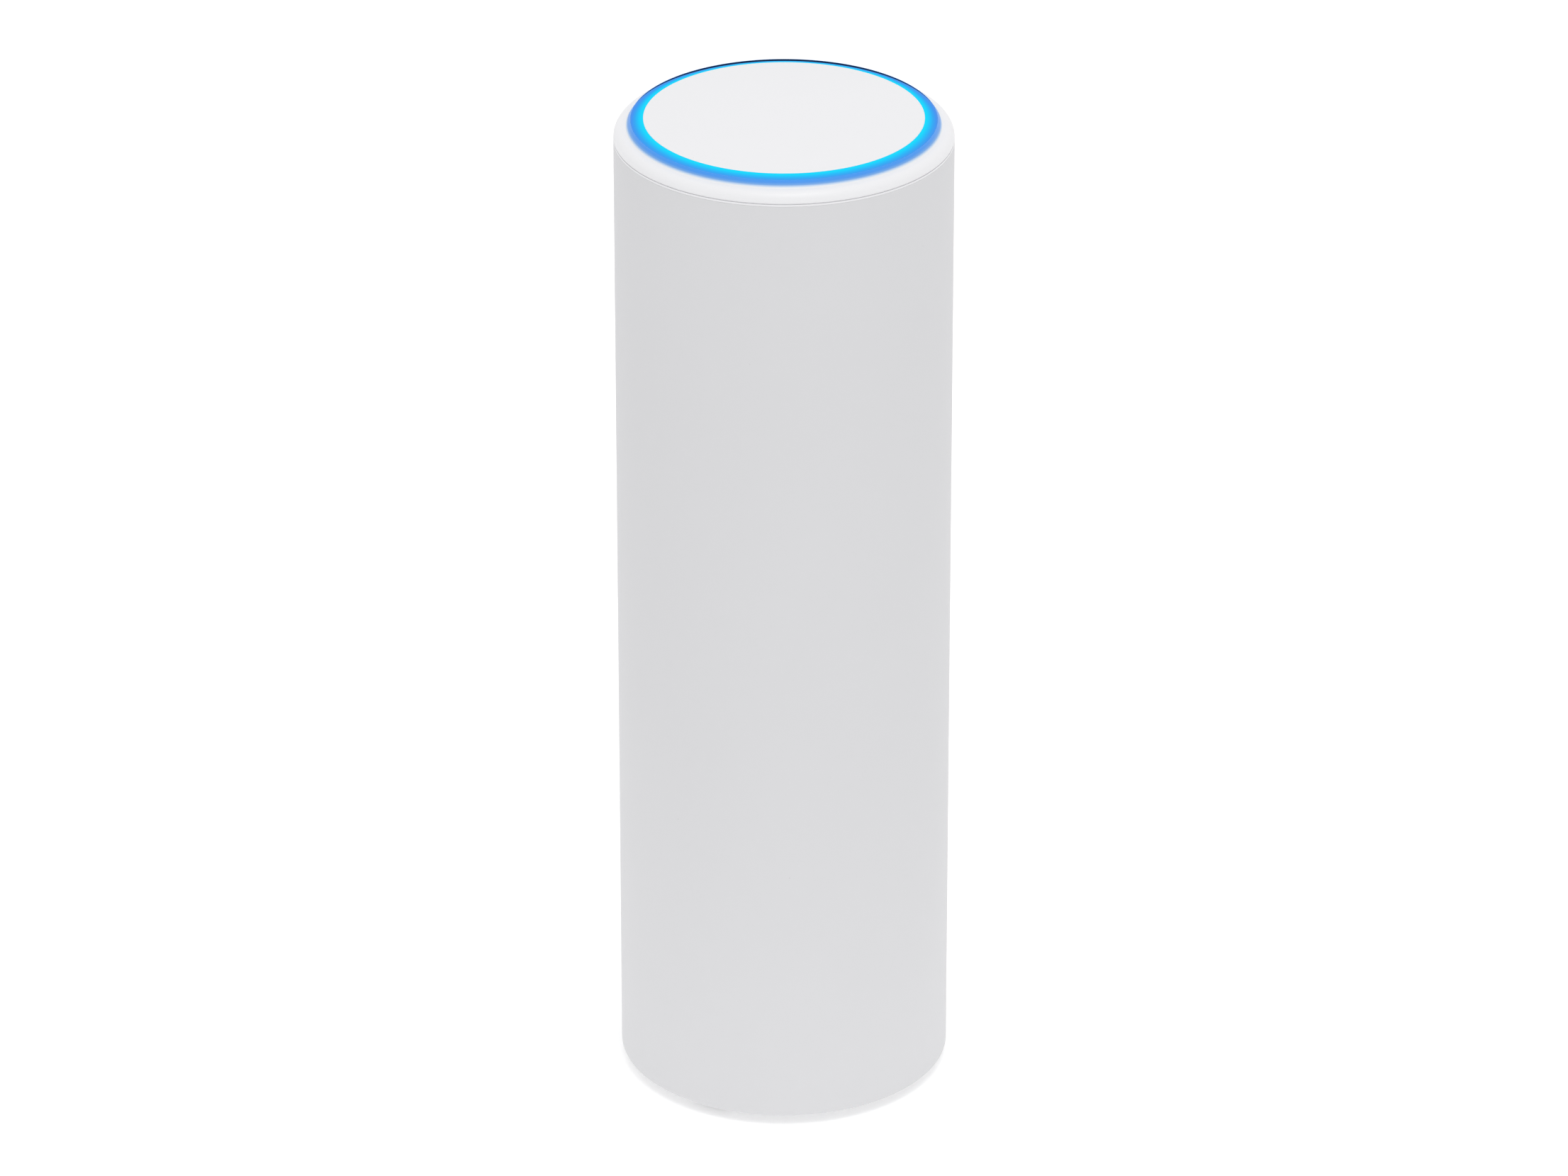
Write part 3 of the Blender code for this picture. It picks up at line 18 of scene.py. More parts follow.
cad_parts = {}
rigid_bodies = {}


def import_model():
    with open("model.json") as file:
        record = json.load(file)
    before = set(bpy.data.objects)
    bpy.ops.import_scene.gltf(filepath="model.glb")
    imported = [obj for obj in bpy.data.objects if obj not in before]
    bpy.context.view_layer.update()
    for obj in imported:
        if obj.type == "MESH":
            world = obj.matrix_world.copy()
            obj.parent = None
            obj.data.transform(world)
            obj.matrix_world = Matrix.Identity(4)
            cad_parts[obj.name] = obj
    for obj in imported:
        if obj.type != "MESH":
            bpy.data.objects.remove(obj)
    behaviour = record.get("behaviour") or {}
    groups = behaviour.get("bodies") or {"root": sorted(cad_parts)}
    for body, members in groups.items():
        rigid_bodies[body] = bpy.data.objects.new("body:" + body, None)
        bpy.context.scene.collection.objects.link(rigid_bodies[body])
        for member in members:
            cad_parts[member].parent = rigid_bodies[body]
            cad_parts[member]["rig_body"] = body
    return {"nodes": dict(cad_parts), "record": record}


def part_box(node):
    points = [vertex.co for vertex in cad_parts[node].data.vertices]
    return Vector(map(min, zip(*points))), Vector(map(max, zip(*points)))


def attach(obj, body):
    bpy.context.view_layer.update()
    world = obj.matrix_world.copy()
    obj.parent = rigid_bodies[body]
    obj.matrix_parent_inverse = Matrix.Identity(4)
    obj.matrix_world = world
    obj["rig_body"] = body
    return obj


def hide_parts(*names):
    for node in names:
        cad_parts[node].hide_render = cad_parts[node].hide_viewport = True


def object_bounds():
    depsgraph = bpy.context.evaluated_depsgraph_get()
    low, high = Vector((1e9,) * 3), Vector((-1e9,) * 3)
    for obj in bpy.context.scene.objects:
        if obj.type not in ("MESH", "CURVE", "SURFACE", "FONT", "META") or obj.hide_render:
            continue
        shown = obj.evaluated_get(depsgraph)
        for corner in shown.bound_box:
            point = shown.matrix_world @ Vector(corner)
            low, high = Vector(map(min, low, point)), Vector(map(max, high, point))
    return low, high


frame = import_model()
cad_low, cad_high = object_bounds()
scene = bpy.context.scene
MM = 0.001
print("frame:", len(frame["nodes"]), "nodes,", [round(side / MM, 2) for side in cad_high - cad_low], "mm")

# %% [markdown]
# ## The camera
#
# The portrait was taken from the front, more than a metre away and from well above the top, with
# a long lens that keeps the tube's sides almost parallel. The ellipse of the top gives the tilt,
# and the tube's taper gives the distance. The lens has no shift, so the same camera also serves
# for every other side.

# %% Camera
CAMERA_BACK = 1112.0 * MM
CAMERA_UP = 629.6 * MM
CAMERA_TILT_DEG = 26.39
CAMERA_LENS = 191.5       # millimetres
SENSOR_WIDTH = 36.0       # millimetres


def placed(name, data):
    """An object in the scene that shows a camera, a lamp or a mesh."""
    item = bpy.data.objects.new(name, data)
    scene.collection.objects.link(item)
    return item


portrait_lens = bpy.data.cameras.new("portrait_lens")
portrait_lens.lens = CAMERA_LENS
portrait_lens.sensor_width = SENSOR_WIDTH
camera = placed("portrait_camera", portrait_lens)
camera.location = (0.0, -CAMERA_BACK, CAMERA_UP)
camera.rotation_euler.x = math.radians(90.0 - CAMERA_TILT_DEG)
scene.camera = camera
scene.view_settings.view_transform = "Standard"
print("camera:", round(camera.location.length / MM), "mm from the foot")

# %% [markdown]
# ## Building with nodes
#
# Light and finishes are both made of nodes. Adding a node, setting it and wiring it takes three
# kinds of line each time, so add_node does all three. An input that is given another node's
# socket is linked, and any other value is set.

# %% One call for each node
WHITE = (1.0, 1.0, 1.0, 1.0)


def set_inputs(tree, node, inputs):
    """Links or sets a node's inputs by name or number."""
    for name, value in inputs.items():
        if isinstance(value, bpy.types.NodeSocket):
            tree.links.new(value, node.inputs[name])
        else:
            node.inputs[name].default_value = value


def add_node(tree, kind, inputs=None, **settings):
    """Adds a node, sets its properties and then its inputs."""
    node = tree.nodes.new(kind)
    for name, value in settings.items():
        setattr(node, name, value)
    set_inputs(tree, node, inputs or {})
    return node


def calculate(tree, operation, *values, clamp=False):
    """A Math node's result."""
    node = add_node(tree, "ShaderNodeMath", dict(enumerate(values)), operation=operation)
    node.use_clamp = clamp
    return node.outputs[0]


def axes_of(tree, place):
    """The X, Y and Z of a place or a direction."""
    return add_node(tree, "ShaderNodeSeparateXYZ", {0: place}).outputs


def background_rays(tree):
    """1 for the rays that show a background: from the camera, off a mirror or through glass."""
    path = add_node(tree, "ShaderNodeLightPath")
    shown = calculate(tree, "ADD", path.outputs["Is Camera Ray"], path.outputs["Is Glossy Ray"])
    return calculate(tree, "ADD", shown, path.outputs["Is Transmission Ray"], clamp=True)


print("helpers: set_inputs, add_node, calculate, axes_of, background_rays")

# %% [markdown]
# ## Soft studio light
#
# White things are photographed in a tent of white cloth, where no lamp shows as a hard spot. A
# world that shines from all round does the same with little noise. It is a trace darker at the
# two sides, which rounds off the tube's flanks. A soft box in front and above lights the top and
# lies as a soft highlight on the shoulder. A round light table under the node, as product tables
# have, sends light up along the tube. The camera sees neither lamp itself.

# %% World and lamps
TENT_LIGHT = 0.95         # the tent's brightness straight ahead and overhead
TENT_SIDES = -0.15        # what it gains towards the sides
BOX_SIDE = 0.4            # metres
BOX_PLACE = (0.1, -0.3, 1.1)
BOX_WATTS = 1.6
TABLE_RADIUS = 120.0 * MM
TABLE_LIFT = 0.02 * MM    # keeps the light table clear of the floor
TABLE_WATTS = 0.028

tent = bpy.data.worlds.new("white_tent")
tent.use_nodes = True
tent.node_tree.nodes.clear()
scene.world = tent
looking = add_node(tent.node_tree, "ShaderNodeTexCoord").outputs["Generated"]
sideways = axes_of(tent.node_tree, looking)["X"]
side_share = calculate(tent.node_tree, "MULTIPLY", sideways, sideways)
glow = calculate(tent.node_tree, "MULTIPLY_ADD", side_share, TENT_SIDES, TENT_LIGHT)
cloth = add_node(tent.node_tree, "ShaderNodeBackground", {"Color": WHITE, "Strength": glow})
white = add_node(tent.node_tree, "ShaderNodeBackground", {"Color": WHITE, "Strength": 1.0})
shown = add_node(tent.node_tree, "ShaderNodeMixShader",
                 {0: background_rays(tent.node_tree), 1: cloth.outputs[0], 2: white.outputs[0]})
add_node(tent.node_tree, "ShaderNodeOutputWorld", {"Surface": shown.outputs[0]})


def soft_lamp(name, shape, size, watts, place, aim):
    """An area lamp that shines from a place towards a point. The camera does not see it."""
    lamp = bpy.data.lights.new(name, "AREA")
    lamp.shape = shape
    lamp.size = size
    lamp.energy = watts
    item = placed(name, lamp)
    item.location = place
    item.rotation_euler = (Vector(aim) - Vector(place)).to_track_quat("-Z", "Y").to_euler()
    item.visible_camera = False
    return item


top_middle = (0.0, 0.0, cad_high.z)
soft_lamp("soft_box", "SQUARE", BOX_SIDE, BOX_WATTS, BOX_PLACE, top_middle)
light_table = soft_lamp("light_table", "DISK", 2 * TABLE_RADIUS, TABLE_WATTS, (0.0, 0.0, TABLE_LIFT),
                        top_middle)
light_table.visible_glossy = False
print("light: tent", TENT_LIGHT, "soft box", BOX_WATTS, "W, light table", TABLE_WATTS, "W")

# %% [markdown]
# ## The floor
#
# The floor is a plain pale sheet that runs past the picture's edges. What the camera sees of it
# gets a small lift, so that open floor is white while the node's soft shadow stays. Light that
# leaves the node and meets the floor within a few millimetres passes through it, and so does a
# look from underneath: the foot can then be seen from below without taking the floor away.

# %% Floor
FLOOR_SIDE = 6.0          # metres
FLOOR_DROP = 0.05 * MM    # keeps the sheet clear of the rubber foot
FLOOR_COLOUR = (0.95, 0.95, 0.95, 1.0)
FLOOR_LIFT = 0.2
UNDERFOOT = 4.0 * MM


def mesh_of(name, shape):
    """Turns a shape into a mesh, which uses the shape up."""
    mesh = bpy.data.meshes.new(name)
    shape.to_mesh(mesh)
    shape.free()
    return mesh


sheet = bmesh.new()
bmesh.ops.create_grid(sheet, x_segments=1, y_segments=1, size=FLOOR_SIDE / 2)
bmesh.ops.translate(sheet, verts=sheet.verts, vec=(0.0, 0.0, -FLOOR_DROP))
floor = placed("floor", mesh_of("floor", sheet))

floor_finish = bpy.data.materials.new("pale_floor")
floor_finish.use_nodes = True
wires = floor_finish.node_tree
wires.nodes.clear()
paper = add_node(wires, "ShaderNodeBsdfDiffuse", {"Color": FLOOR_COLOUR})
lift = calculate(wires, "MULTIPLY", background_rays(wires), FLOOR_LIFT)
lamp = add_node(wires, "ShaderNodeEmission", {"Color": WHITE, "Strength": lift})
lit_paper = add_node(wires, "ShaderNodeAddShader", {0: paper.outputs[0], 1: lamp.outputs[0]})
nothing = add_node(wires, "ShaderNodeBsdfTransparent")
reach = add_node(wires, "ShaderNodeLightPath").outputs["Ray Length"]
underside = add_node(wires, "ShaderNodeNewGeometry").outputs["Backfacing"]
passing = calculate(wires, "MAXIMUM", calculate(wires, "LESS_THAN", reach, UNDERFOOT), underside)
either = add_node(wires, "ShaderNodeMixShader",
                  {0: passing, 1: lit_paper.outputs[0], 2: nothing.outputs[0]})
add_node(wires, "ShaderNodeOutputMaterial", {"Surface": either.outputs[0]})
floor.data.materials.append(floor_finish)
print("floor:", FLOOR_SIDE, "m square")

# %% [markdown]
# ## Effects that finishes share
#
# Moulded plastic is never perfectly even. Its mould leaves a fine grain, and its colour drifts a
# little over a few centimetres. Metal shows the lines of the tool that drew or rolled it. Each
# effect is built once, as a node group with named inputs, and each finish sets its own sizes.
# All of them read Object coordinates, in metres, so a size is a real size on every piece.

# %% A group with its sockets
def new_group(name, inputs, outputs):
    """A node group with plain number sockets, and its two ends."""
    group = bpy.data.node_groups.new(name, "ShaderNodeTree")
    for label in inputs:
        group.interface.new_socket(label, in_out="INPUT", socket_type="NodeSocketFloat")
    for label in outputs:
        group.interface.new_socket(label, in_out="OUTPUT", socket_type="NodeSocketFloat")
    start = add_node(group, "NodeGroupInput")
    end = add_node(group, "NodeGroupOutput")
    return group, start.outputs, end.inputs


def use_group(tree, group, sizes):
    """Puts a group into a finish, with its sizes, and gives its outputs."""
    return add_node(tree, "ShaderNodeGroup", sizes, node_tree=group).outputs


def place_on_piece(tree):
    return add_node(tree, "ShaderNodeTexCoord").outputs["Object"]


def noise(tree, place, size, detail=2.0):
    """Soft noise whose lumps are about as wide as size, in metres."""
    return add_node(tree, "ShaderNodeTexNoise",
                    {"Vector": place, "Scale": calculate(tree, "DIVIDE", 1.0, size),
                     "Detail": detail}).outputs["Fac"]


print("helpers: new_group, use_group, place_on_piece, noise")

# %% [markdown]
# ## Grain and drift
#
# The first group gives two noises at once: a fine one for the grain of the mould and a wide one
# for the drift of the colour. It could also be one noise with much detail, but two sizes that are
# set apart are easier to judge.

# %% Mould grain and colour drift
mould_grain, given, result = new_group("mould_grain", ("Grain Size", "Drift Size"), ("Grain", "Drift"))
place = place_on_piece(mould_grain)
mould_grain.links.new(noise(mould_grain, place, given["Grain Size"]), result["Grain"])
mould_grain.links.new(noise(mould_grain, place, given["Drift Size"]), result["Drift"])
print("group:", mould_grain.name)

# %% [markdown]
# ## Specks
#
# A cell pattern fills space with scattered points. Where one lies close under the skin, it shows
# as a tiny round speck, so most points show nothing and the specks come out rare and uneven.

# %% Rare specks
rare_specks, given, result = new_group("rare_specks", ("Spacing", "Radius"), ("Speck",))
cells = add_node(rare_specks, "ShaderNodeTexVoronoi",
                 {"Vector": place_on_piece(rare_specks),
                  "Scale": calculate(rare_specks, "DIVIDE", 1.0, given["Spacing"])})
reach = calculate(rare_specks, "DIVIDE", given["Radius"], given["Spacing"])
rare_specks.links.new(calculate(rare_specks, "LESS_THAN", cells.outputs["Distance"], reach),
                      result["Speck"])
print("group:", rare_specks.name)

# %% [markdown]
# ## Tool lines
#
# Rolling and drawing leave fine lines along the metal. A noise whose Z is squeezed before it is
# read comes out stretched along Z, and so looks drawn.

# %% Tool lines on metal
tool_lines, given, result = new_group("tool_lines", ("Line Size", "Stretch"), ("Lines",))
ways = axes_of(tool_lines, place_on_piece(tool_lines))
along = calculate(tool_lines, "DIVIDE", ways["Z"], given["Stretch"])
drawn_out = add_node(tool_lines, "ShaderNodeCombineXYZ", {"X": ways["X"], "Y": ways["Y"], "Z": along})
lines = noise(tool_lines, drawn_out.outputs[0], given["Line Size"], detail=3.0)
tool_lines.links.new(lines, result["Lines"])
print("group:", tool_lines.name)

# %% [markdown]
# ## Distance from the axis
#
# Round pieces change colour from the inside out. This group flattens the place on the piece to
# X and Y, takes its length, and gives the share of the way between two radii.

# %% Share of the way between two radii
from_axis, given, result = new_group("from_axis", ("Inner", "Outer"), ("Share",))
flat = add_node(from_axis, "ShaderNodeVectorMath",
                {0: place_on_piece(from_axis), 1: (1.0, 1.0, 0.0)}, operation="MULTIPLY")
radius = add_node(from_axis, "ShaderNodeVectorMath", {0: flat.outputs[0]}, operation="LENGTH")
share = add_node(from_axis, "ShaderNodeMapRange",
                 {"Value": radius.outputs["Value"], "From Min": given["Inner"],
                  "From Max": given["Outer"]})
from_axis.links.new(share.outputs[0], result["Share"])
print("group:", from_axis.name)

# %% [markdown]
# ## Finishes for plastic, rubber and metal
#
# Colours are written as a picture editor shows them, from 0 to 255, and turned into the linear
# values that a shader takes. A finish is then one function with a few sizes: how far its colour
# drifts, how rough it is, and how deep its grain is. The bump's depth is a few thousandths of a
# millimetre, because a satin surface only breaks up a reflection and shows no lumps.

# %% Colour helpers
FINISHES = {}


def written(*levels):
    """A linear colour from levels of 0 to 255."""
    shares = [level / 255.0 for level in levels]
    linear = [s / 12.92 if s <= 0.04045 else ((s + 0.055) / 1.055) ** 2.4 for s in shares]
    return (*linear, 1.0)


def shaded(colour, factor):
    return (*[min(1.0, part * factor) for part in colour[:3]], 1.0)


def blend(tree, share, first, second):
    """A colour between two, by a share from 0 to 1."""
    return add_node(tree, "ShaderNodeMix", {0: share, 6: first, 7: second}, data_type="RGBA").outputs[2]


def spread(tree, value, low, high):
    """Stretches a value that runs from 0 to 1 to another range."""
    return add_node(tree, "ShaderNodeMapRange",
                    {"Value": value, "To Min": low, "To Max": high}).outputs[0]


def set_stops(ramp, stops):
    """Gives a colour ramp its (position, colour) stops."""
    elements = ramp.color_ramp.elements
    while len(elements) < len(stops):
        elements.new(0.5)
    for element, (position, colour) in zip(elements, stops):
        element.position = position
        element.color = colour


def new_finish(slot):
    """A material for one of the record's slots, with its node tree and shader."""
    finish = bpy.data.materials.new(slot)
    finish.use_nodes = True
    FINISHES[slot] = finish
    return finish.node_tree, finish.node_tree.nodes["Principled BSDF"]


def press(tree, shader, height, depth):
    """Turns a height from 0 to 1 into bump of a real depth."""
    bump = add_node(tree, "ShaderNodeBump", {"Height": height, "Distance": depth, "Strength": 1.0})
    tree.links.new(bump.outputs[0], shader.inputs["Normal"])


print("mid grey, written as 128, is", round(written(128)[0], 3), "in linear light")

# %% [markdown]
# ## Plastic and rubber
#
# A moulded finish uses the grain three times: it varies the roughness, it presses the bump, and
# its wide noise moves the colour a little. The specks are a shade darker than the rest.

# %% Moulded plastic and rubber
SPECK_SPACING = 7.0 * MM
SPECK_RADIUS = 0.09 * MM
SPECK_SHADE = 0.85
DRIFT_TO_GRAIN = 40.0
ROUGHNESS_PLAY = 0.08


def moulded(slot, colour, roughness, grain=0.35 * MM, depth=0.004 * MM, drift=0.03, specular=0.5):
    """Plastic or rubber from a mould: fine grain, a drifting tone, rare specks."""
    tree, shader = new_finish(slot)
    skin = use_group(tree, mould_grain, {"Grain Size": grain, "Drift Size": DRIFT_TO_GRAIN * grain})
    specks = use_group(tree, rare_specks, {"Spacing": SPECK_SPACING, "Radius": SPECK_RADIUS})
    tone = blend(tree, skin["Drift"], shaded(colour, 1.0 - drift), shaded(colour, 1.0 + drift))
    tone = blend(tree, specks["Speck"], tone, shaded(colour, SPECK_SHADE))
    rough = spread(tree, skin["Grain"], roughness - ROUGHNESS_PLAY, roughness + ROUGHNESS_PLAY)
    set_inputs(tree, shader, {"Base Color": tone, "Roughness": rough, "Specular IOR Level": specular})
    press(tree, shader, skin["Grain"], depth)
    return tree, shader, tone


print("moulded finishes: specks about", SPECK_SPACING / MM, "mm apart")

# %% [markdown]
# ## Metal
#
# Metal takes its colour from its reflection, so the lines vary the tone and the roughness, and
# the bump is a few thousandths of a millimetre deep.

# %% Worked metal
LINE_SHADES = (0.88, 1.1)
LINE_ROUGHNESS = 0.1


def worked_metal(slot, colour, roughness, lines=0.12 * MM, stretch=12.0, depth=0.003 * MM):
    """Metal with the fine lines of rolling, drawing or plating."""
    tree, shader = new_finish(slot)
    marks = use_group(tree, tool_lines, {"Line Size": lines, "Stretch": stretch})["Lines"]
    tone = blend(tree, marks, *[shaded(colour, shade) for shade in LINE_SHADES])
    rough = spread(tree, marks, roughness - LINE_ROUGHNESS, roughness + LINE_ROUGHNESS)
    set_inputs(tree, shader, {"Base Color": tone, "Roughness": rough, "Metallic": 1.0})
    press(tree, shader, marks, depth)


print("metal finishes: tone from", LINE_SHADES[0], "to", LINE_SHADES[1])

# %% [markdown]
# ## The white finishes and the hidden ones
#
# The three white pieces are the same plastic from three moulds, written as lit and shaded copies
# of it: the upright sleeve is darker as painted shade, and the top disc and the shoulder, which
# face the light above, are lighter, the shoulder the whitest. The sleeve is satin and the shoulder
# the smoothest. The pieces that only show from below or on a bench get the finish of their trade:
# dark rubber, black moulded plastic, green solder resist, tin, gold, copper and aluminium.

# %% Finishes by slot
# painted shade: the upright sleeve's white is written darker than the disc's, which is written lighter as
# painted light
moulded("sleeve_white", written(217, 217, 219), 0.5, drift=0.008, specular=0.25)
moulded("disc_white", written(233, 233, 235), 0.5, drift=0.006, specular=0.3)
moulded("baffle_white", written(236, 236, 236), 0.6)
moulded("base_grey", written(206, 206, 208), 0.55, grain=0.5 * MM, depth=0.01 * MM)
moulded("foot_rubber", written(74, 74, 76), 0.8, grain=0.6 * MM, depth=0.02 * MM, drift=0.12)
moulded("grommet_rubber", written(150, 150, 152), 0.75, grain=0.5 * MM, depth=0.015 * MM, drift=0.08)
moulded("chassis_black", written(48, 48, 50), 0.55, grain=0.5 * MM, depth=0.012 * MM, drift=0.08)
moulded("jack_black", written(38, 38, 38), 0.45, drift=0.08)
moulded("button_grey", written(124, 124, 126), 0.5)
moulded("chip_black", written(34, 34, 36), 0.55, grain=0.2 * MM, drift=0.1)
moulded("ferrite_grey", written(68, 68, 68), 0.7, grain=0.25 * MM, depth=0.015 * MM, drift=0.15)
moulded("pad_grey", written(160, 166, 174), 0.85, grain=0.8 * MM, depth=0.03 * MM, drift=0.06)
moulded("carrier_grey", written(97, 97, 99), 0.6, drift=0.05)
moulded("lead_black", written(40, 40, 42), 0.5, drift=0.08)
moulded("cable_white", written(225, 225, 221), 0.5)
moulded("led_white", written(231, 231, 217), 0.35, grain=0.15 * MM)
# painted shade: this near-black finish is the film that stands for the shade in the gap under the lip
moulded("seal_black", written(3, 22, 24), 0.16, grain=0.2 * MM, drift=0.1, specular=0.6)
worked_metal("screw_steel", written(179, 179, 181), 0.35)
worked_metal("shell_tin", written(204, 204, 204), 0.3, stretch=20.0)
worked_metal("contact_gold", written(226, 196, 125), 0.25)
worked_metal("can_silver", written(211, 211, 213), 0.3)
worked_metal("sink_aluminium", written(196, 198, 199), 0.45, lines=0.2 * MM, stretch=60.0)
worked_metal("antenna_copper", written(220, 161, 124), 0.35)
print("finishes so far:", len(FINISHES))

# %% [markdown]
# ## Solder resist over copper
#
# A circuit board is green because a thin coat of resist covers its copper. Over a track the coat
# is lighter and stands a few hundredths of a millimetre proud. Tracks run side by side at an even
# pitch, in patches that lie across and patches that lie upright. So a soft noise picks the
# patches, and within each one the fraction of a place divided by the pitch tells track from gap.
# Upright, Y and Z are added, because one board stands and the other lies flat.

# %% Board finish
TRACK_PITCH = 1.1 * MM
TRACK_SHARE = 0.3
PATCH_SIZE = 7.0 * MM
PATCH_LEVEL = 0.5         # noise above it is a patch whose tracks lie across
TRACK_RISE = 0.03 * MM
RESIST_GRAIN = 0.2 * MM
RESIST_DRIFT = 9.0 * MM
RESIST_SHADES = (0.85, 1.15)
RESIST_ROUGHNESS = (0.25, 0.4)
RESIST_GREEN = written(22, 84, 62)
TRACK_GREEN = written(36, 104, 74)

tree, shader = new_finish("board_green")
place = place_on_piece(tree)
ways = axes_of(tree, place)
rising = calculate(tree, "ADD", ways["Y"], ways["Z"])


def on_track(way):
    """1 on a track and 0 between the tracks, counted along one way."""
    count = calculate(tree, "DIVIDE", way, TRACK_PITCH)
    return calculate(tree, "LESS_THAN", calculate(tree, "FRACT", count), TRACK_SHARE)


patch = calculate(tree, "GREATER_THAN", noise(tree, place, PATCH_SIZE, detail=0.0), PATCH_LEVEL)
lying = calculate(tree, "MULTIPLY", on_track(rising), patch)
standing = calculate(tree, "MULTIPLY", on_track(ways["X"]), calculate(tree, "SUBTRACT", 1.0, patch))
copper = calculate(tree, "ADD", lying, standing)
coat = use_group(tree, mould_grain, {"Grain Size": RESIST_GRAIN, "Drift Size": RESIST_DRIFT})
resist = blend(tree, coat["Drift"], *[shaded(RESIST_GREEN, shade) for shade in RESIST_SHADES])
set_inputs(tree, shader, {"Base Color": blend(tree, copper, resist, TRACK_GREEN),
                          "Roughness": spread(tree, coat["Grain"], *RESIST_ROUGHNESS)})
press(tree, shader, copper, TRACK_RISE)
print("finish: board_green, a track every", TRACK_PITCH / MM, "mm")

# %% [markdown]
# ## The sizes of the top
#
# The lit top is what the eye goes to, and its pieces fit within tenths of a millimetre. Their
# radii and heights come from the boxes of the frame's nodes. The engineering model keeps a small
# gap between neighbours. On the real object those gaps are pressed shut, so the dressed pieces
# close them up to a hair's breadth.

# %% Measures of the top
def radius_of(node):
    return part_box(node)[1].x


def heights_of(node):
    """A node's lowest and highest z."""
    low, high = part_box(node)
    return low.z, high.z


RING_R = radius_of("light_ring")
BODY_R = radius_of("outer_sleeve")
DISC_BOTTOM_Z, TOP_Z = heights_of("top_disc")
GUIDE_Z = heights_of("light_ring")[0]
SHADE_FILM_Z = heights_of("light_ring_seal")[0]
SLEEVE_Z, SLEEVE_TOP_Z = heights_of("outer_sleeve")
FLANGE_Z, LIP_Z = heights_of("shoulder_ring")

HAIR = 0.005 * MM         # what is left of a closed gap
RING_WIDTH = 1.8 * MM
LIP_HEIGHT = 1.0 * MM     # from the roll up to the crest
CREST_WIDTH = 0.06 * MM
UNDERCUT = 0.28 * MM      # how far the ring reaches in under the leaning lip
LIP_REACH = 0.4 * MM      # how far the lip stands above the ring's outer edge
RING_STEP = 0.05 * MM     # from the disc's face to its inner edge
RING_CROWN = 0.05 * MM    # how far its face bulges
RING_BORE_R = RING_R - RING_WIDTH
GUIDE_R = 20.75 * MM
GUIDE_BORE_R = 18.55 * MM
SHADE_FILM_WALL = 0.01 * MM
SHOULDER_WIDTH = 1.75 * MM  # the roll outside the lip
ROLL_R = BODY_R - SHOULDER_WIDTH
ROLL_TOP_Z = LIP_Z - LIP_HEIGHT
EDGE_R = RING_R + UNDERCUT
EDGE_Z = LIP_Z - LIP_REACH
LIP_R = RING_R + HAIR + SHADE_FILM_WALL
CREST_R = LIP_R + CREST_WIDTH
print("top: ring", round(RING_R / MM, 2), "body", round(BODY_R / MM, 2), "mm in radius")

# %% [markdown]
# ## The ring's colour
#
# Lamps under the ring shine up through it, and the light thins out on its way to the rim. So the
# colour runs from cyan beside the disc to azure at the outside. The ring shines by itself at a
# strength of 1, which shows its colours as they are written. Its own body is dark and dull, or
# daylight would add a second, paler colour on top.

# %% Glow
RING_COLOURS = (
    (0.15, written(30, 219, 254)),
    (0.43, written(43, 192, 251)),
    (0.66, written(58, 168, 244)),
    (0.88, written(71, 152, 243)),
    (1.00, written(86, 150, 236)),
)
GLOW_GRAIN = 0.3 * MM
GLOW_DRIFT = 18.0 * MM
GLOW_PLAY = 0.03          # how far a colour wanders, as a share of the ring's width
GLOW_ROUGHNESS = (0.4, 0.55)
BLACK = (0.0, 0.0, 0.0, 1.0)

tree, shader = new_finish("ring_blue")
way_out = use_group(tree, from_axis, {"Inner": RING_BORE_R, "Outer": RING_R})["Share"]
uneven = use_group(tree, mould_grain, {"Grain Size": GLOW_GRAIN, "Drift Size": GLOW_DRIFT})
drift = spread(tree, uneven["Drift"], -GLOW_PLAY, GLOW_PLAY)
ramp = add_node(tree, "ShaderNodeValToRGB", {"Fac": calculate(tree, "ADD", way_out, drift, clamp=True)})
set_stops(ramp, RING_COLOURS)
set_inputs(tree, shader, {"Emission Color": ramp.outputs["Color"], "Emission Strength": 1.0,
                          "Base Color": BLACK, "Specular IOR Level": 0.0,
                          "Roughness": spread(tree, uneven["Grain"], *GLOW_ROUGHNESS)})
print("finish: ring_blue,", len(RING_COLOURS), "colours")

# %% [markdown]
# ## The shoulder's colour
#
# The shoulder is plain white but for its raised lip. There the ring's light soaks into the
# plastic, and that glow is painted into the base colour: azure at the crest, a pale mist further
# down, and nothing left on the roll. The painted glow is laid by the distance from the axis, so it
# looks the same from every side. The alpha of its last colour fades it out into the plain white,
# and a mask by height keeps it off the skirt, which lies as close to the axis but far below.

# %% Painted glow on the lip
# painted light: the shoulder's white is written as the lit copy of the sleeve's plastic
SHOULDER_WHITE = written(235, 235, 237)
LIP_GLOW_COLOURS = (
    (0.00, written(52, 150, 240)),
    (0.30, written(68, 146, 232)),
    (0.55, written(110, 164, 226)),
    (0.78, written(200, 218, 238)),
    (1.00, (*SHOULDER_WHITE[:3], 0.0)),
)

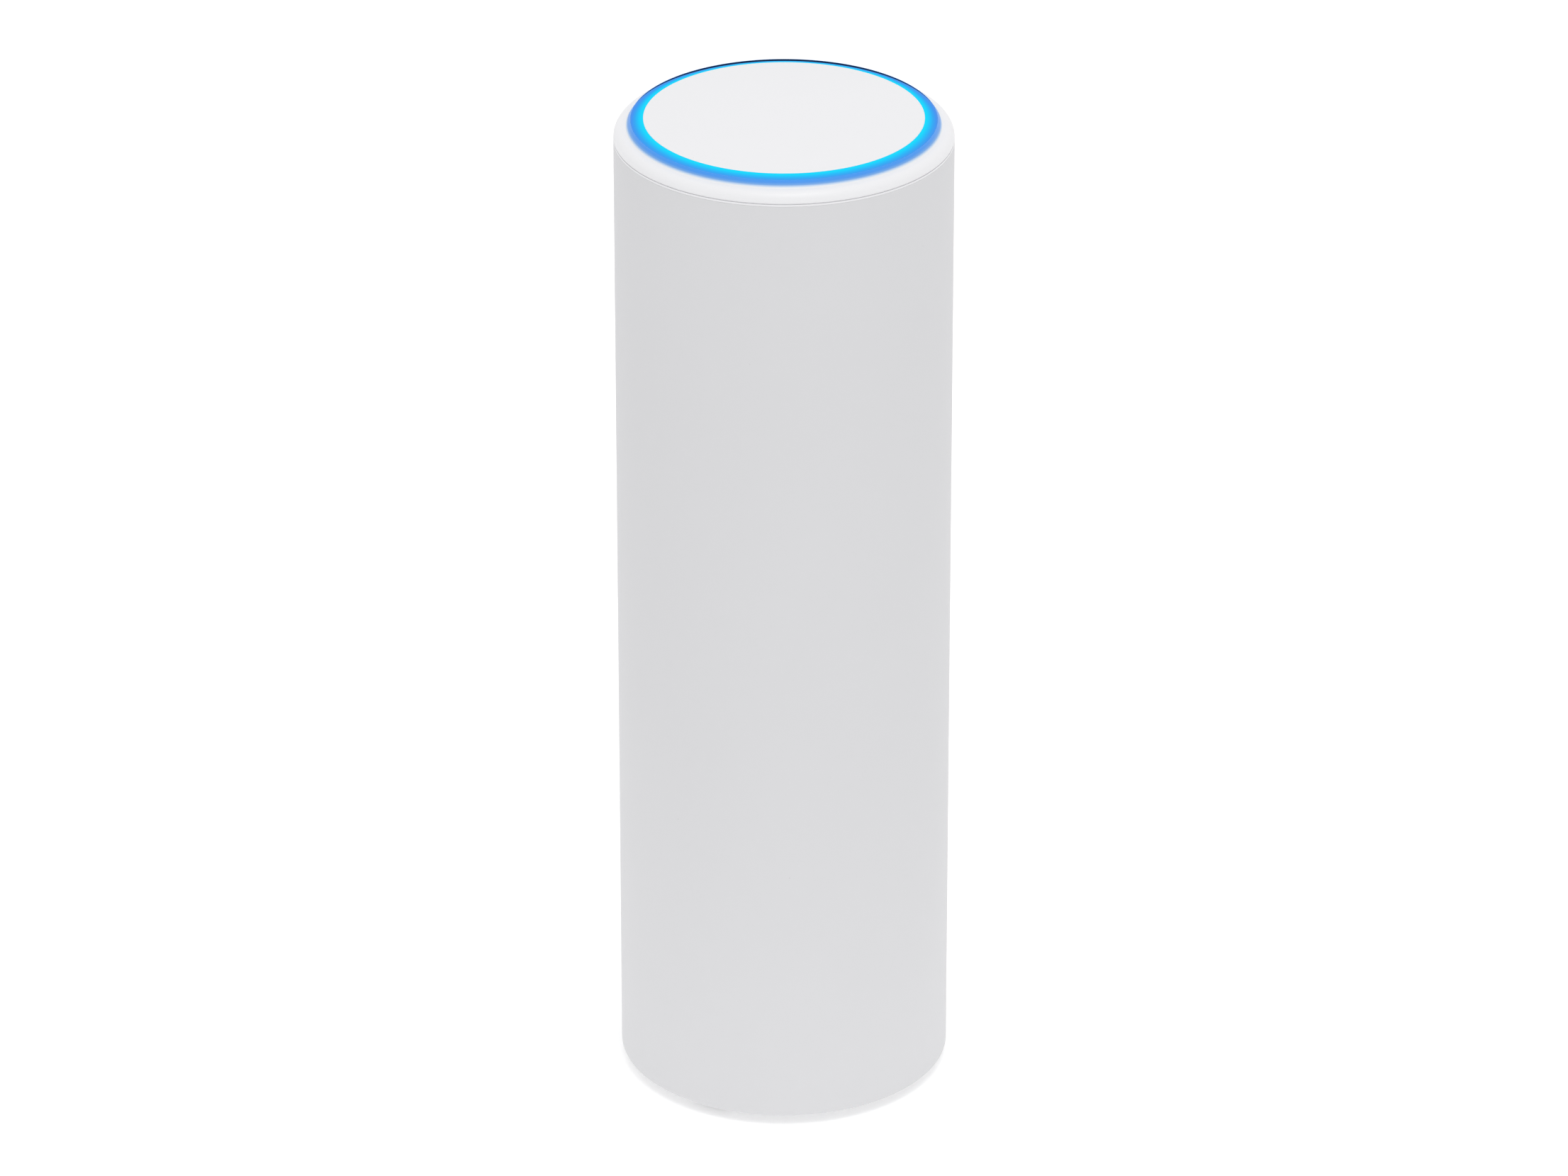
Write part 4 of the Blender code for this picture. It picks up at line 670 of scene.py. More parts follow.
tree, shader, plain = moulded("shoulder_white", SHOULDER_WHITE, 0.38, drift=0.004)
from_lip = use_group(tree, from_axis, {"Inner": CREST_R, "Outer": ROLL_R})["Share"]
painted_glow = add_node(tree, "ShaderNodeValToRGB", {"Fac": from_lip})
set_stops(painted_glow, LIP_GLOW_COLOURS)
height = axes_of(tree, place_on_piece(tree))["Z"]
on_lip = calculate(tree, "GREATER_THAN", height, ROLL_TOP_Z - HAIR)
glow_share = calculate(tree, "MULTIPLY", painted_glow.outputs["Alpha"], on_lip)
# painted glow: the ring's light on the lip, blended into the shoulder's base colour
set_inputs(tree, shader, {"Base Color": blend(tree, glow_share, plain, painted_glow.outputs["Color"])})
print("finish: shoulder_white, tinted over", round((ROLL_R - CREST_R) / MM, 2), "mm")

# %% [markdown]
# ## Turned pieces
#
# Nearly everything on the outside is turned: a section swept once round the axis. The section's
# corners are a few vertices, and the spin operator sweeps them. The merge at the end of the turn
# closes the seam. Edges are rounded afterwards, with the bevel operator on the circles that lie
# at a given radius and height, so a corner stays one point in the section.

# %% Spin, round and hand over
FINE_TURN = 192
WELD = 0.001 * MM
ROUND_SEGMENTS = 4
SHARP_DEG = 35.0
SLOT_OF = {row["node"]: row["material_slot"] for row in frame["record"]["subparts"]}


def spun(corners, closed=True, steps=FINE_TURN):
    """A turned shape from the (radius, height) corners of its section."""
    shape = bmesh.new()
    points = [shape.verts.new((radius, 0.0, height)) for radius, height in corners]
    for here, there in zip(points, points[1:]):
        shape.edges.new((here, there))
    if closed:
        shape.edges.new((points[-1], points[0]))
    bmesh.ops.spin(shape, geom=shape.verts[:] + shape.edges[:], cent=(0, 0, 0), axis=(0, 0, 1),
                   angle=math.tau, steps=steps, use_merge=True)
    bmesh.ops.remove_doubles(shape, verts=shape.verts, dist=WELD)
    bmesh.ops.recalc_face_normals(shape, faces=shape.faces)
    return shape


def round_edges(shape, edges, width, segments):
    bmesh.ops.bevel(shape, geom=edges, offset=width, offset_type="OFFSET", affect="EDGES",
                    segments=segments, profile=0.5, material=-1, clamp_overlap=True)


def round_rim(shape, radius, height, width, segments=ROUND_SEGMENTS):
    """Rounds the circular edge at a radius and height."""
    def on_rim(vert):
        return abs(vert.co.xy.length - radius) < WELD and abs(vert.co.z - height) < WELD
    rim = [edge for edge in shape.edges if all(on_rim(vert) for vert in edge.verts)]
    round_edges(shape, rim, width, segments)


def make_piece(name, shape, node):
    """Makes a shape a piece that stands for a node, with the node's body and finish."""
    mesh = mesh_of(name, shape)
    mesh.shade_smooth()
    mesh.set_sharp_from_angle(angle=math.radians(SHARP_DEG))
    mesh.materials.append(FINISHES[SLOT_OF[node]])
    piece = placed(name, mesh)
    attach(piece, frame["nodes"][node]["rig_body"])
    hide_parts(node)
    print("piece:", name, len(mesh.polygons), "faces")
    return piece


def arc(middle, radii, first_deg, last_deg, steps):
    """Points of an elliptical arc in a section."""
    turn = (last_deg - first_deg) / steps
    angles = [math.radians(first_deg + turn * step) for step in range(steps + 1)]
    return [(middle[0] + radii[0] * math.cos(a), middle[1] + radii[1] * math.sin(a)) for a in angles]


print("turned pieces:", FINE_TURN, "steps a turn")

# %% [markdown]
# ## Top disc
#
# The disc is a flat white plate that lies inside the ring. It could be a scaled cylinder, but a
# turned section gives it the small round that catches a line of light along its edge. The
# section starts and ends on the axis, and the doubles that the spin leaves there are merged.

# %% Disc
DISC_ROUND = 0.12 * MM

plate_r = RING_BORE_R - HAIR
plate = spun([(0.0, TOP_Z), (plate_r, TOP_Z), (plate_r, DISC_BOTTOM_Z), (0.0, DISC_BOTTOM_Z)],
             closed=False)
round_rim(plate, plate_r, TOP_Z, DISC_ROUND)
make_piece("bare_disc", plate, "top_disc")

# %% [markdown]
# ## Light ring
#
# The ring is the top of a clear plastic tube that stands on the lamps. Its face slopes down to
# the outside and bulges a little, so its section is a straight line with a parabola added. Below
# the face it steps in to the tube's wall.

# %% Ring
RING_STEPS = 12
RIM_RISE = 0.24 * MM      # from the film's foot up to the step below the face
FIT_GAP = 0.3 * MM        # play between pieces that are pushed together


def ring_face():
    """The sloping, slightly bulging face, from the disc outwards."""
    face = []
    for step in range(RING_STEPS + 1):
        share = step / RING_STEPS
        radius = RING_BORE_R + share * (EDGE_R - RING_BORE_R)
        height = TOP_Z - RING_STEP - share * (TOP_Z - RING_STEP - EDGE_Z)
        face.append((radius, height + 4.0 * RING_CROWN * share * (1.0 - share)))
    return face


rim_z = SHADE_FILM_Z + RIM_RISE
seat_z = DISC_BOTTOM_Z - FIT_GAP
ring = spun(ring_face() + [(EDGE_R, rim_z), (GUIDE_R, rim_z), (GUIDE_R, GUIDE_Z), (GUIDE_BORE_R, GUIDE_Z),
                           (GUIDE_BORE_R, seat_z), (RING_BORE_R, seat_z)])
make_piece("glowing_ring", ring, "light_ring")

# %% [markdown]
# ## Painted shade film
#
# The lip leans in over the ring and holds it down. A thin dark film lines its inner side as
# painted shade: it stands for the shade in the narrow gap between the ring and the lip. At the
# front and the sides the lip hides the film. On the far side one looks at it over the disc, and it
# draws the fine dark line of shade round the back. So it follows the lip's slope, with real height
# and hardly any thickness.

# %% Painted shade film
def lip_side(gap):
    """The lip's inner side from the crest down, a gap away from the ring."""
    return [(RING_R + gap, LIP_Z), (EDGE_R + gap, EDGE_Z)]


shade_film = spun(lip_side(HAIR + SHADE_FILM_WALL) + [(EDGE_R + HAIR + SHADE_FILM_WALL, SHADE_FILM_Z), (EDGE_R + HAIR, SHADE_FILM_Z)]
            + lip_side(HAIR)[::-1])
make_piece("painted_shade_film", shade_film, "light_ring_seal")

# %% [markdown]
# ## Joining and cutting
#
# Holes, slots and lugs break the roundness of a turned piece, so they are joined or cut with
# Booleans. A Boolean is a modifier and works on objects: the helper makes each shape an object
# for a moment, reads the result back and removes the objects again.

# %% Join and cut shapes
ROD_SEGMENTS = 48
OVERRUN = 2.0 * MM        # how far a cutter runs past what it cuts


def combined(shape, others, operation):
    """Joins other shapes to one, or cuts them out of it, with exact Booleans."""
    body = placed("body", mesh_of("body", shape))
    tools = [placed("tool", mesh_of("tool", other)) for other in others]
    for tool in tools:
        boolean = body.modifiers.new(operation.lower(), "BOOLEAN")
        boolean.operation = operation
        boolean.solver = "EXACT"
        boolean.object = tool
    result = bmesh.new()
    result.from_object(body, bpy.context.evaluated_depsgraph_get())
    for item in [body, *tools]:
        mesh = item.data
        bpy.data.objects.remove(item)
        bpy.data.meshes.remove(mesh)
    bmesh.ops.remove_doubles(result, verts=result.verts, dist=WELD)
    return result


def carve(shape, *cutters):
    return combined(shape, cutters, "DIFFERENCE")


def join(shape, *others):
    return combined(shape, others, "UNION")


def upright_rod(x, y, radius, low, high):
    """A round rod along Z, often the cutter for a hole."""
    rod = bmesh.new()
    bmesh.ops.create_cone(rod, cap_ends=True, segments=ROD_SEGMENTS, radius1=radius, radius2=radius,
                          depth=high - low)
    bmesh.ops.translate(rod, verts=rod.verts, vec=(x, y, (low + high) / 2))
    return rod


def block(low, high):
    """A box between two corners."""
    box = bmesh.new()
    bmesh.ops.create_cube(box, size=1.0)
    bmesh.ops.scale(box, verts=box.verts, vec=Vector(high) - Vector(low))
    bmesh.ops.translate(box, verts=box.verts, vec=(Vector(low) + Vector(high)) / 2)
    return box


def middle_of(node):
    low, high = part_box(node)
    return (low + high) / 2


def numbered(kind):
    """The nodes of a kind that the frame has several of, in order."""
    return sorted(node for node in frame["nodes"] if node[:-1] == f"{kind}_")


print("shapes to join and cut: rod with", ROD_SEGMENTS, "sides, block")

# %% [markdown]
# ## Shoulder
#
# The lip stands up round the ring like the edge of a dish. Outside it the shoulder rolls over to
# the upright side in a quarter of an ellipse, and a fine groove marks the seam. A skirt with a
# groove for the rubber seal reaches down into the sleeve, and a flange at its foot takes three
# screws.

# %% Shoulder ring
ROLL_STEPS = 20
SKIRT_R = 22.45 * MM
SKIRT_BORE_R = 21.05 * MM
LEDGE_GAP = 0.06 * MM     # under the film's foot
LEDGE_Z = SHADE_FILM_Z - LEDGE_GAP
FLANGE_HEIGHT = 2.0 * MM
FLANGE_TOP_Z = FLANGE_Z + FLANGE_HEIGHT
FLANGE_BORE_R = 9.0 * MM
GROOVE_R = 21.65 * MM
O_RING_LOW, O_RING_HIGH = heights_of("shoulder_o_ring")
SCREW_HOLE_R = 1.25 * MM
LINE_RISE = 0.27 * MM     # from the sleeve's end up to the seam's groove
LINE_Z = SLEEVE_TOP_Z + LINE_RISE
LINE_WIDTH = 0.18 * MM
LINE_DEPTH = 0.18 * MM
COVE_ROUND = 0.1 * MM     # hollow between the lip and the roll
COVE_SEGMENTS = 3


def screw_hole(node, low, high):
    """A cutter for the hole of a screw, past two heights."""
    middle = middle_of(node)
    return upright_rod(middle.x, middle.y, SCREW_HOLE_R, low - OVERRUN, high + OVERRUN)


line_r = BODY_R - LINE_DEPTH
line_top = LINE_Z + LINE_WIDTH
roll = arc((ROLL_R, line_top), (SHOULDER_WIDTH, ROLL_TOP_Z - line_top), 90.0, 0.0, ROLL_STEPS)
line = [(line_r, line_top), (line_r, LINE_Z), (BODY_R, LINE_Z), (BODY_R, SLEEVE_TOP_Z + HAIR)]
lip_gap = LIP_R - RING_R
lip = [(EDGE_R + lip_gap, LEDGE_Z)] + lip_side(lip_gap)[::-1] + [(CREST_R, LIP_Z)]
skirt = [(SKIRT_R, SLEEVE_TOP_Z + HAIR), (SKIRT_R, O_RING_HIGH + HAIR), (GROOVE_R, O_RING_HIGH + HAIR),
         (GROOVE_R, O_RING_LOW - HAIR), (SKIRT_R, O_RING_LOW - HAIR), (SKIRT_R, FLANGE_Z)]
flange = [(FLANGE_BORE_R, FLANGE_Z), (FLANGE_BORE_R, FLANGE_TOP_Z), (SKIRT_BORE_R, FLANGE_TOP_Z),
          (SKIRT_BORE_R, LEDGE_Z)]
shoulder = spun(lip + roll + line + skirt + flange)
round_rim(shoulder, ROLL_R, ROLL_TOP_Z, COVE_ROUND, COVE_SEGMENTS)
holes = [screw_hole(node, FLANGE_Z, FLANGE_TOP_Z) for node in numbered("top_screw")]
make_piece("rounded_shoulder", carve(shoulder, *holes), "shoulder_ring")

# %% [markdown]
# ## Sleeve
#
# The sleeve is the long plain tube. Extruded tube would have hard ends. This one is turned, so
# both ends get their fine rounds, and the line of light below the seam comes from the upper one.
# At the back an arch lets the cable out. Two extra circles above the arch keep the cut's odd
# faces low on the tube, where they can't pull at the shading of the long wall.

# %% Sleeve with its cable arch
BORE_R = 22.75 * MM
REBATE_R = 23.75 * MM
REBATE_HEIGHT = 1.5 * MM
REBATE_TOP_Z = SLEEVE_Z + REBATE_HEIGHT
RIM_ROUND = 0.4 * MM
RIM_SEGMENTS = 6
SEAM_ROUND = 0.1 * MM
ARCH_HALF = 4.7 * MM
ARCH_TOP_Z = 10.2 * MM
ARCH_SHARE = 0.96         # of the half width that the round top takes
ARCH_STEPS = 16
CALM_HEIGHTS = (12.0 * MM, 16.0 * MM)

calm = [(BODY_R, height) for height in reversed(CALM_HEIGHTS)]
rebate = [(REBATE_R, SLEEVE_Z), (REBATE_R, REBATE_TOP_Z), (BORE_R, REBATE_TOP_Z)]
sleeve = spun([(BORE_R, SLEEVE_TOP_Z), (BODY_R, SLEEVE_TOP_Z)] + calm + [(BODY_R, SLEEVE_Z)] + rebate)
round_rim(sleeve, BODY_R, SLEEVE_TOP_Z, SEAM_ROUND)
round_rim(sleeve, BODY_R, SLEEVE_Z, RIM_ROUND, RIM_SEGMENTS)


def arched(half, ends, low, high):
    """A block along Y, between two ends and two heights, with a half-round top."""
    shape = block((-half, ends[0], low), (half, ends[1], high))
    ridge = [edge for edge in shape.edges
             if all(abs(vert.co.z - high) < WELD for vert in edge.verts)
             and abs(edge.verts[0].co.x - edge.verts[1].co.x) < WELD]
    round_edges(shape, ridge, ARCH_SHARE * half, ARCH_STEPS)
    return shape


sleeve = carve(sleeve, arched(ARCH_HALF, (BORE_R - OVERRUN, BODY_R + OVERRUN), -OVERRUN, ARCH_TOP_Z))
make_piece("white_sleeve", sleeve, "outer_sleeve")

# %% [markdown]
# ## Collar
#
# A grey collar holds the sleeve's foot. It is turned too, and then gets what a mould would give
# it: three ears with screw holes, three L-shaped pockets for the cover's bayonet, and the arch of
# the cable. An L is two sectors, which are a small section spun through a part of a turn.

# %% Collar with ears and pockets
SECTOR_STEPS = 25         # odd, so that no step of a cut meets a step of the turned collar
BITE = 0.5 * MM           # how far shapes sink into each other where they are joined
COLLAR_R = 22.45 * MM
COLLAR_BORE_R = 20.4 * MM
COLLAR_RIM_TOP_Z = REBATE_TOP_Z - FIT_GAP
COLLAR_ROUND = 0.2 * MM
EAR_R = 2.8 * MM
EAR_HEIGHTS = (24.3 * MM, 27.7 * MM)
LUG_ANGLES = (30.0, 150.0, 270.0)
LUG_WIDTH_DEG = 12.0
LUG_HEIGHTS = (7.5 * MM, 9.5 * MM)
TWIST_DEG = 30.0
POCKET_R = 22.0 * MM
POCKET_HEIGHTS = (7.1 * MM, 9.9 * MM)
POCKET_PLAY_DEG = 4.0
ENTRY_PLAY_DEG = 2.0


def sector(radii, heights, middle_deg, width_deg):
    """A block bent round the axis, between two radii and two heights."""
    (inner, outer), (low, high) = radii, heights
    corners = ((inner, low), (outer, low), (outer, high), (inner, high))
    shape = bmesh.new()
    section = shape.faces.new([shape.verts.new((radius, 0.0, height)) for radius, height in corners])
    bmesh.ops.spin(shape, geom=[section], cent=(0, 0, 0), axis=(0, 0, 1),
                   angle=math.radians(width_deg), steps=SECTOR_STEPS)
    first_deg = middle_deg - width_deg / 2
    bmesh.ops.rotate(shape, verts=shape.verts, cent=(0, 0, 0),
                     matrix=Matrix.Rotation(math.radians(first_deg), 3, "Z"))
    bmesh.ops.recalc_face_normals(shape, faces=shape.faces)
    return shape


collar_r = radius_of("base_collar")
collar_top = heights_of("base_collar")[1]
collar = spun([(COLLAR_R, collar_top), (COLLAR_R, COLLAR_RIM_TOP_Z), (collar_r, COLLAR_RIM_TOP_Z),
               (collar_r, SLEEVE_Z), (COLLAR_BORE_R, SLEEVE_Z), (COLLAR_BORE_R, collar_top)])
for radius in (collar_r, COLLAR_BORE_R):
    round_rim(collar, radius, SLEEVE_Z, COLLAR_ROUND)
ears = []
pockets = []
pocket_radii = (COLLAR_BORE_R - BITE, POCKET_R)
for node, degrees in zip(numbered("base_screw"), LUG_ANGLES):
    screw = middle_of(node)
    ears.append(upright_rod(screw.x, screw.y, EAR_R, *EAR_HEIGHTS))
    pockets.append(screw_hole(node, *EAR_HEIGHTS))
    pockets.append(sector(pocket_radii, POCKET_HEIGHTS, degrees - TWIST_DEG / 2,
                          LUG_WIDTH_DEG + TWIST_DEG + POCKET_PLAY_DEG))
    pockets.append(sector(pocket_radii, (-OVERRUN, LUG_HEIGHTS[0]), degrees - TWIST_DEG,
                          LUG_WIDTH_DEG + ENTRY_PLAY_DEG))
pockets.append(arched(ARCH_HALF, (COLLAR_BORE_R - OVERRUN, BODY_R), -OVERRUN, ARCH_TOP_Z))
make_piece("moulded_collar", carve(join(collar, *ears), *pockets), "base_collar")

# %% [markdown]
# ## Twist-off cover
#
# The cover closes the cable well. Its plug carries three lugs that turn in the collar's pockets,
# a groove in its underside holds the rubber foot, and two dished dimples give the fingers a hold.
# A dish is a ball cut out of the flat: the ball's radius follows from the dish's width and depth.

# %% Cover
COVER_FLOOR = 2.4 * MM
PLUG_BORE_R = 18.2 * MM
FOOT_GROOVE_RADII = (14.9 * MM, 19.3 * MM)
FOOT_GROOVE_Z = 2.5 * MM
LUG_R = 21.6 * MM
COVER_ROUND = 0.25 * MM
GRIP_RADIUS = 4.0 * MM
GRIP_DEPTH = 1.0 * MM
GRIP_CIRCLE_R = 9.9 * MM
GRIP_ANGLES = (200.0, 340.0)
BALL_STEPS = 64


def ball(middle, radius):
    shape = bmesh.new()
    bmesh.ops.create_uvsphere(shape, u_segments=BALL_STEPS, v_segments=BALL_STEPS, radius=radius)
    bmesh.ops.translate(shape, verts=shape.verts, vec=middle)
    return shape


def polar(radius, degrees):
    angle = math.radians(degrees)
    return radius * math.cos(angle), radius * math.sin(angle)


cover_r = radius_of("base_cover")
cover_z, plug_top = heights_of("base_cover")
floor_z = cover_z + COVER_FLOOR
groove_bore, groove_r = FOOT_GROOVE_RADII
cover = spun([(0.0, floor_z), (PLUG_BORE_R, floor_z), (PLUG_BORE_R, plug_top), (cover_r, plug_top),
              (cover_r, cover_z), (groove_r, cover_z), (groove_r, FOOT_GROOVE_Z),
              (groove_bore, FOOT_GROOVE_Z), (groove_bore, cover_z), (0.0, cover_z)], closed=False)
for radius in (cover_r, groove_r, groove_bore):
    round_rim(cover, radius, cover_z, COVER_ROUND)
lugs = [sector((cover_r - BITE, LUG_R), LUG_HEIGHTS, degrees, LUG_WIDTH_DEG) for degrees in LUG_ANGLES]
slot_heights = (cover_z - OVERRUN, plug_top + OVERRUN)
cuts = [upright_rod(0.0, 0.0, ARCH_HALF, *slot_heights),
        block((-ARCH_HALF, 0.0, slot_heights[0]), (ARCH_HALF, cover_r + OVERRUN, slot_heights[1]))]
ball_r = (GRIP_RADIUS ** 2 + GRIP_DEPTH ** 2) / (2 * GRIP_DEPTH)
for degrees in GRIP_ANGLES:
    cuts.append(ball((*polar(GRIP_CIRCLE_R, degrees), cover_z + GRIP_DEPTH - ball_r), ball_r))
make_piece("twist_cover", carve(join(cover, *lugs), *cuts), "base_cover")

# %% [markdown]
# ## Rubber foot
#
# The foot is a ring of dark rubber pressed into the cover's groove. Soft rubber comes out of its
# mould with generous rounds, so both lower rims are rounded well. A gap at the back lets the
# cable pass.

# %% Foot
FOOT_BORE_R = 15.2 * MM
FOOT_ROUND = 0.5 * MM
FOOT_SEGMENTS = 5
FOOT_GAP_HALF = 5.0 * MM

foot_r = radius_of("foot_ring")
foot_z, foot_top = heights_of("foot_ring")
foot = spun([(foot_r, foot_top), (foot_r, foot_z), (FOOT_BORE_R, foot_z), (FOOT_BORE_R, foot_top)])
for radius in (foot_r, FOOT_BORE_R):
    round_rim(foot, radius, foot_z, FOOT_ROUND, FOOT_SEGMENTS)
gap = block((-FOOT_GAP_HALF, 0.0, foot_z - OVERRUN),
            (FOOT_GAP_HALF, foot_r + OVERRUN, foot_top + OVERRUN))
make_piece("rubber_foot", carve(foot, gap), "foot_ring")

# %% [markdown]
# ## Cable grommet
#
# The grommet fills the arch and grips the cable. Its neck has the arch's own shape, a little
# smaller all round, and a wider flange behind keeps it from being pulled out. The hole takes the
# cable, and the slit below lets the rubber open over it. The hole's cutter is an upright rod
# turned to lie along Y.

# %% Grommet
NECK_HALF = 4.45 * MM
NECK_TOP_Z = 9.95 * MM
NECK_END = 19.21 * MM
NECK_ROUND = 0.25 * MM
NECK_SEGMENTS = 3
FLANGE_HALF = 6.2 * MM
FLANGE_FLOOR_Z = 4.2 * MM
FLANGE_DEPTH = 1.7 * MM
CABLE_R = 3.1 * MM
CABLE_Z = 5.5 * MM
SLIT_HALF = 0.3 * MM

grommet_low, grommet_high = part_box("cable_grommet")
flange_y = grommet_low.y + FLANGE_DEPTH
flange = block((-FLANGE_HALF, grommet_low.y, FLANGE_FLOOR_Z), (FLANGE_HALF, flange_y, grommet_high.z))
neck = arched(NECK_HALF, (grommet_low.y + BITE, NECK_END), grommet_low.z, NECK_TOP_Z)
mouth = [edge for edge in neck.edges if all(abs(vert.co.y - NECK_END) < WELD for vert in edge.verts)]
round_edges(neck, mouth, NECK_ROUND, NECK_SEGMENTS)
hole = upright_rod(0.0, 0.0, CABLE_R, grommet_low.y - OVERRUN, NECK_END + OVERRUN)
lying = Matrix.Translation((0.0, 0.0, CABLE_Z)) @ Matrix.Rotation(math.radians(-90.0), 4, "X")
bmesh.ops.transform(hole, matrix=lying, verts=hole.verts)
slit = block((-SLIT_HALF, grommet_low.y - OVERRUN, -OVERRUN), (SLIT_HALF, NECK_END + OVERRUN, CABLE_Z))
make_piece("arched_grommet", carve(join(flange, neck), hole, slit), "cable_grommet")

# %% [markdown]
# ## Screws
#
# Ten small screws hold the node together. The head is a turned dome with a cross cut into it. The
# thread is a ridge wound round the shank: a triangle is spun, and a step along the axis at each
# turn of the spin makes a helix of it. The shape is made standing up and then turned to where its
# head points, so one function serves all ten.

# %% Screws with a thread
HEAD_R = 1.9 * MM
HEAD_HEIGHT = 1.3 * MM
HEAD_SIDE = 0.55 * MM     # upright part of the head's side
HEAD_STEPS = 8
CROSS_LENGTH = 2.0 * MM
CROSS_WIDTH = 0.42 * MM
CROSS_DEPTH = 0.7 * MM
SHANK_R = 0.78 * MM
THREAD_R = 1.0 * MM
THREAD_PITCH = 0.7 * MM
THREAD_HALF = 0.25 * MM   # half of the ridge's foot
THREAD_SINK = 0.05 * MM
SCREW_STEPS = 32
HEAD_POINTS = {"base_screw": (0, 0, -1), "top_screw": (0, 0, 1), "heat_sink_screw": (0, -1, 0)}


def crossed(shape, half, thin, low, high):
    """Cuts a cross between two heights out of a shape on the axis."""
    return carve(shape, block((-half, -thin, low), (half, thin, high)),
                 block((-thin, -half, low), (thin, half, high)))


def standing_screw(shank):
    """A screw on the Z axis, with its head above the origin and its shank below."""
    dome = arc((0.0, HEAD_SIDE), (HEAD_R, HEAD_HEIGHT - HEAD_SIDE), 90.0, 0.0, HEAD_STEPS)
    body = spun(dome + [(HEAD_R, 0.0), (SHANK_R, 0.0), (SHANK_R, -shank), (0.0, -shank)],
                closed=False, steps=SCREW_STEPS)
    body = crossed(body, CROSS_LENGTH / 2, CROSS_WIDTH / 2, HEAD_HEIGHT - CROSS_DEPTH,
                   HEAD_HEIGHT + OVERRUN)
    turns = int((shank - 2 * THREAD_PITCH) / THREAD_PITCH)
    start = -shank + THREAD_PITCH
    section = ((SHANK_R - THREAD_SINK, start - THREAD_HALF), (THREAD_R, start),
               (SHANK_R - THREAD_SINK, start + THREAD_HALF))
    face = body.faces.new([body.verts.new((radius, 0.0, height)) for radius, height in section])
    bmesh.ops.spin(body, geom=[face], cent=(0, 0, 0), axis=(0, 0, 1), angle=math.tau * turns,
                   steps=SCREW_STEPS * turns, dvec=(0.0, 0.0, THREAD_PITCH / SCREW_STEPS))
    bmesh.ops.recalc_face_normals(body, faces=body.faces)
    return body


def pointed(shape, place, way):
    """Turns a standing shape's top towards a direction and sets it in its place."""
    turn = Vector(way).to_track_quat("Z", "Y").to_matrix().to_4x4()
    bmesh.ops.transform(shape, matrix=Matrix.Translation(place) @ turn, verts=shape.verts)
    return shape


for kind, way in HEAD_POINTS.items():
    for node in numbered(kind):
        low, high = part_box(node)
        length = abs((high - low).dot(Vector(way)))
        seat = middle_of(node) + Vector(way) * (length / 2 - HEAD_HEIGHT)
        screw = pointed(standing_screw(length - HEAD_HEIGHT), seat, way)
        make_piece(f"threaded_{node}", screw, node)

# %% [markdown]
# ## Capacitor
#
# A large capacitor is a drawn aluminium can. A groove near its foot holds the rubber plug, the
# rim is rounded, and the end is scored with a cross so that it can burst gently. The can is
# turned standing up and then laid towards the front of the board.

# %% Capacitor can
CAN_R = 4.0 * MM
PLUG_R = 3.6 * MM
ROLL_IN = 0.4 * MM
GROOVE_MIDDLE = 1.9 * MM
GROOVE_HALF = 0.6 * MM
GROOVE_DEPTH = 0.35 * MM
CAN_ROUND = 0.45 * MM
CAN_SEGMENTS = 5
CAN_TURN = 64
GROOVE_STEPS = 8
SCORE_HALF = 0.12 * MM
SCORE_DEPTH = 0.12 * MM
SCORE_LENGTH = 5.2 * MM

can_low, can_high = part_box("bulk_capacitor")
length = can_high.y - can_low.y
groove = arc((CAN_R, GROOVE_MIDDLE), (GROOVE_DEPTH, GROOVE_HALF), 270.0, 90.0, GROOVE_STEPS)
can = spun([(0.0, 0.0), (PLUG_R, 0.0), (CAN_R, ROLL_IN)] + groove + [(CAN_R, length), (0.0, length)],
           closed=False, steps=CAN_TURN)
round_rim(can, CAN_R, length, CAN_ROUND, CAN_SEGMENTS)
can = crossed(can, SCORE_LENGTH / 2, SCORE_HALF, length - SCORE_DEPTH, length + OVERRUN)
foot_of_can = middle_of("bulk_capacitor") + Vector((0.0, length / 2, 0.0))
make_piece("capacitor_can", pointed(can, foot_of_can, (0, -1, 0)), "bulk_capacitor")

# %% [markdown]
# ## Shield cans and lamps
#
# Both are small boxes with a face set into a frame. The inset operator makes the frame from the
# box's outer face, and its depth pushes the middle in. The shields' lids face the front, and the
# lamps' windows face up, each turned to its place on the circle.

# %% Boxes with a set-in face
SHIELD_FRAME = 1.1 * MM
SHIELD_STEP = 0.25 * MM
SHIELD_ROUND = 0.3 * MM
LAMP_SIDE = 1.6 * MM
LAMP_FRAME = 0.18 * MM
LAMP_STEP = 0.12 * MM
LAMP_ROUND = 0.06 * MM
FEW_SEGMENTS = 2          # enough for the round of a small edge


def framed_box(low, high, way, frame_width, step, width):
    """A box with rounded edges, whose face towards a direction is set into a frame."""
    shape = block(low, high)
    round_edges(shape, shape.edges[:], width, FEW_SEGMENTS)
    shape.normal_update()
    front = max(shape.faces, key=lambda face: face.normal.dot(Vector(way)) * face.calc_area())
    bmesh.ops.inset_region(shape, faces=[front], thickness=frame_width, depth=0.0)
    bmesh.ops.inset_region(shape, faces=[front], thickness=step, depth=-step)
    return shape


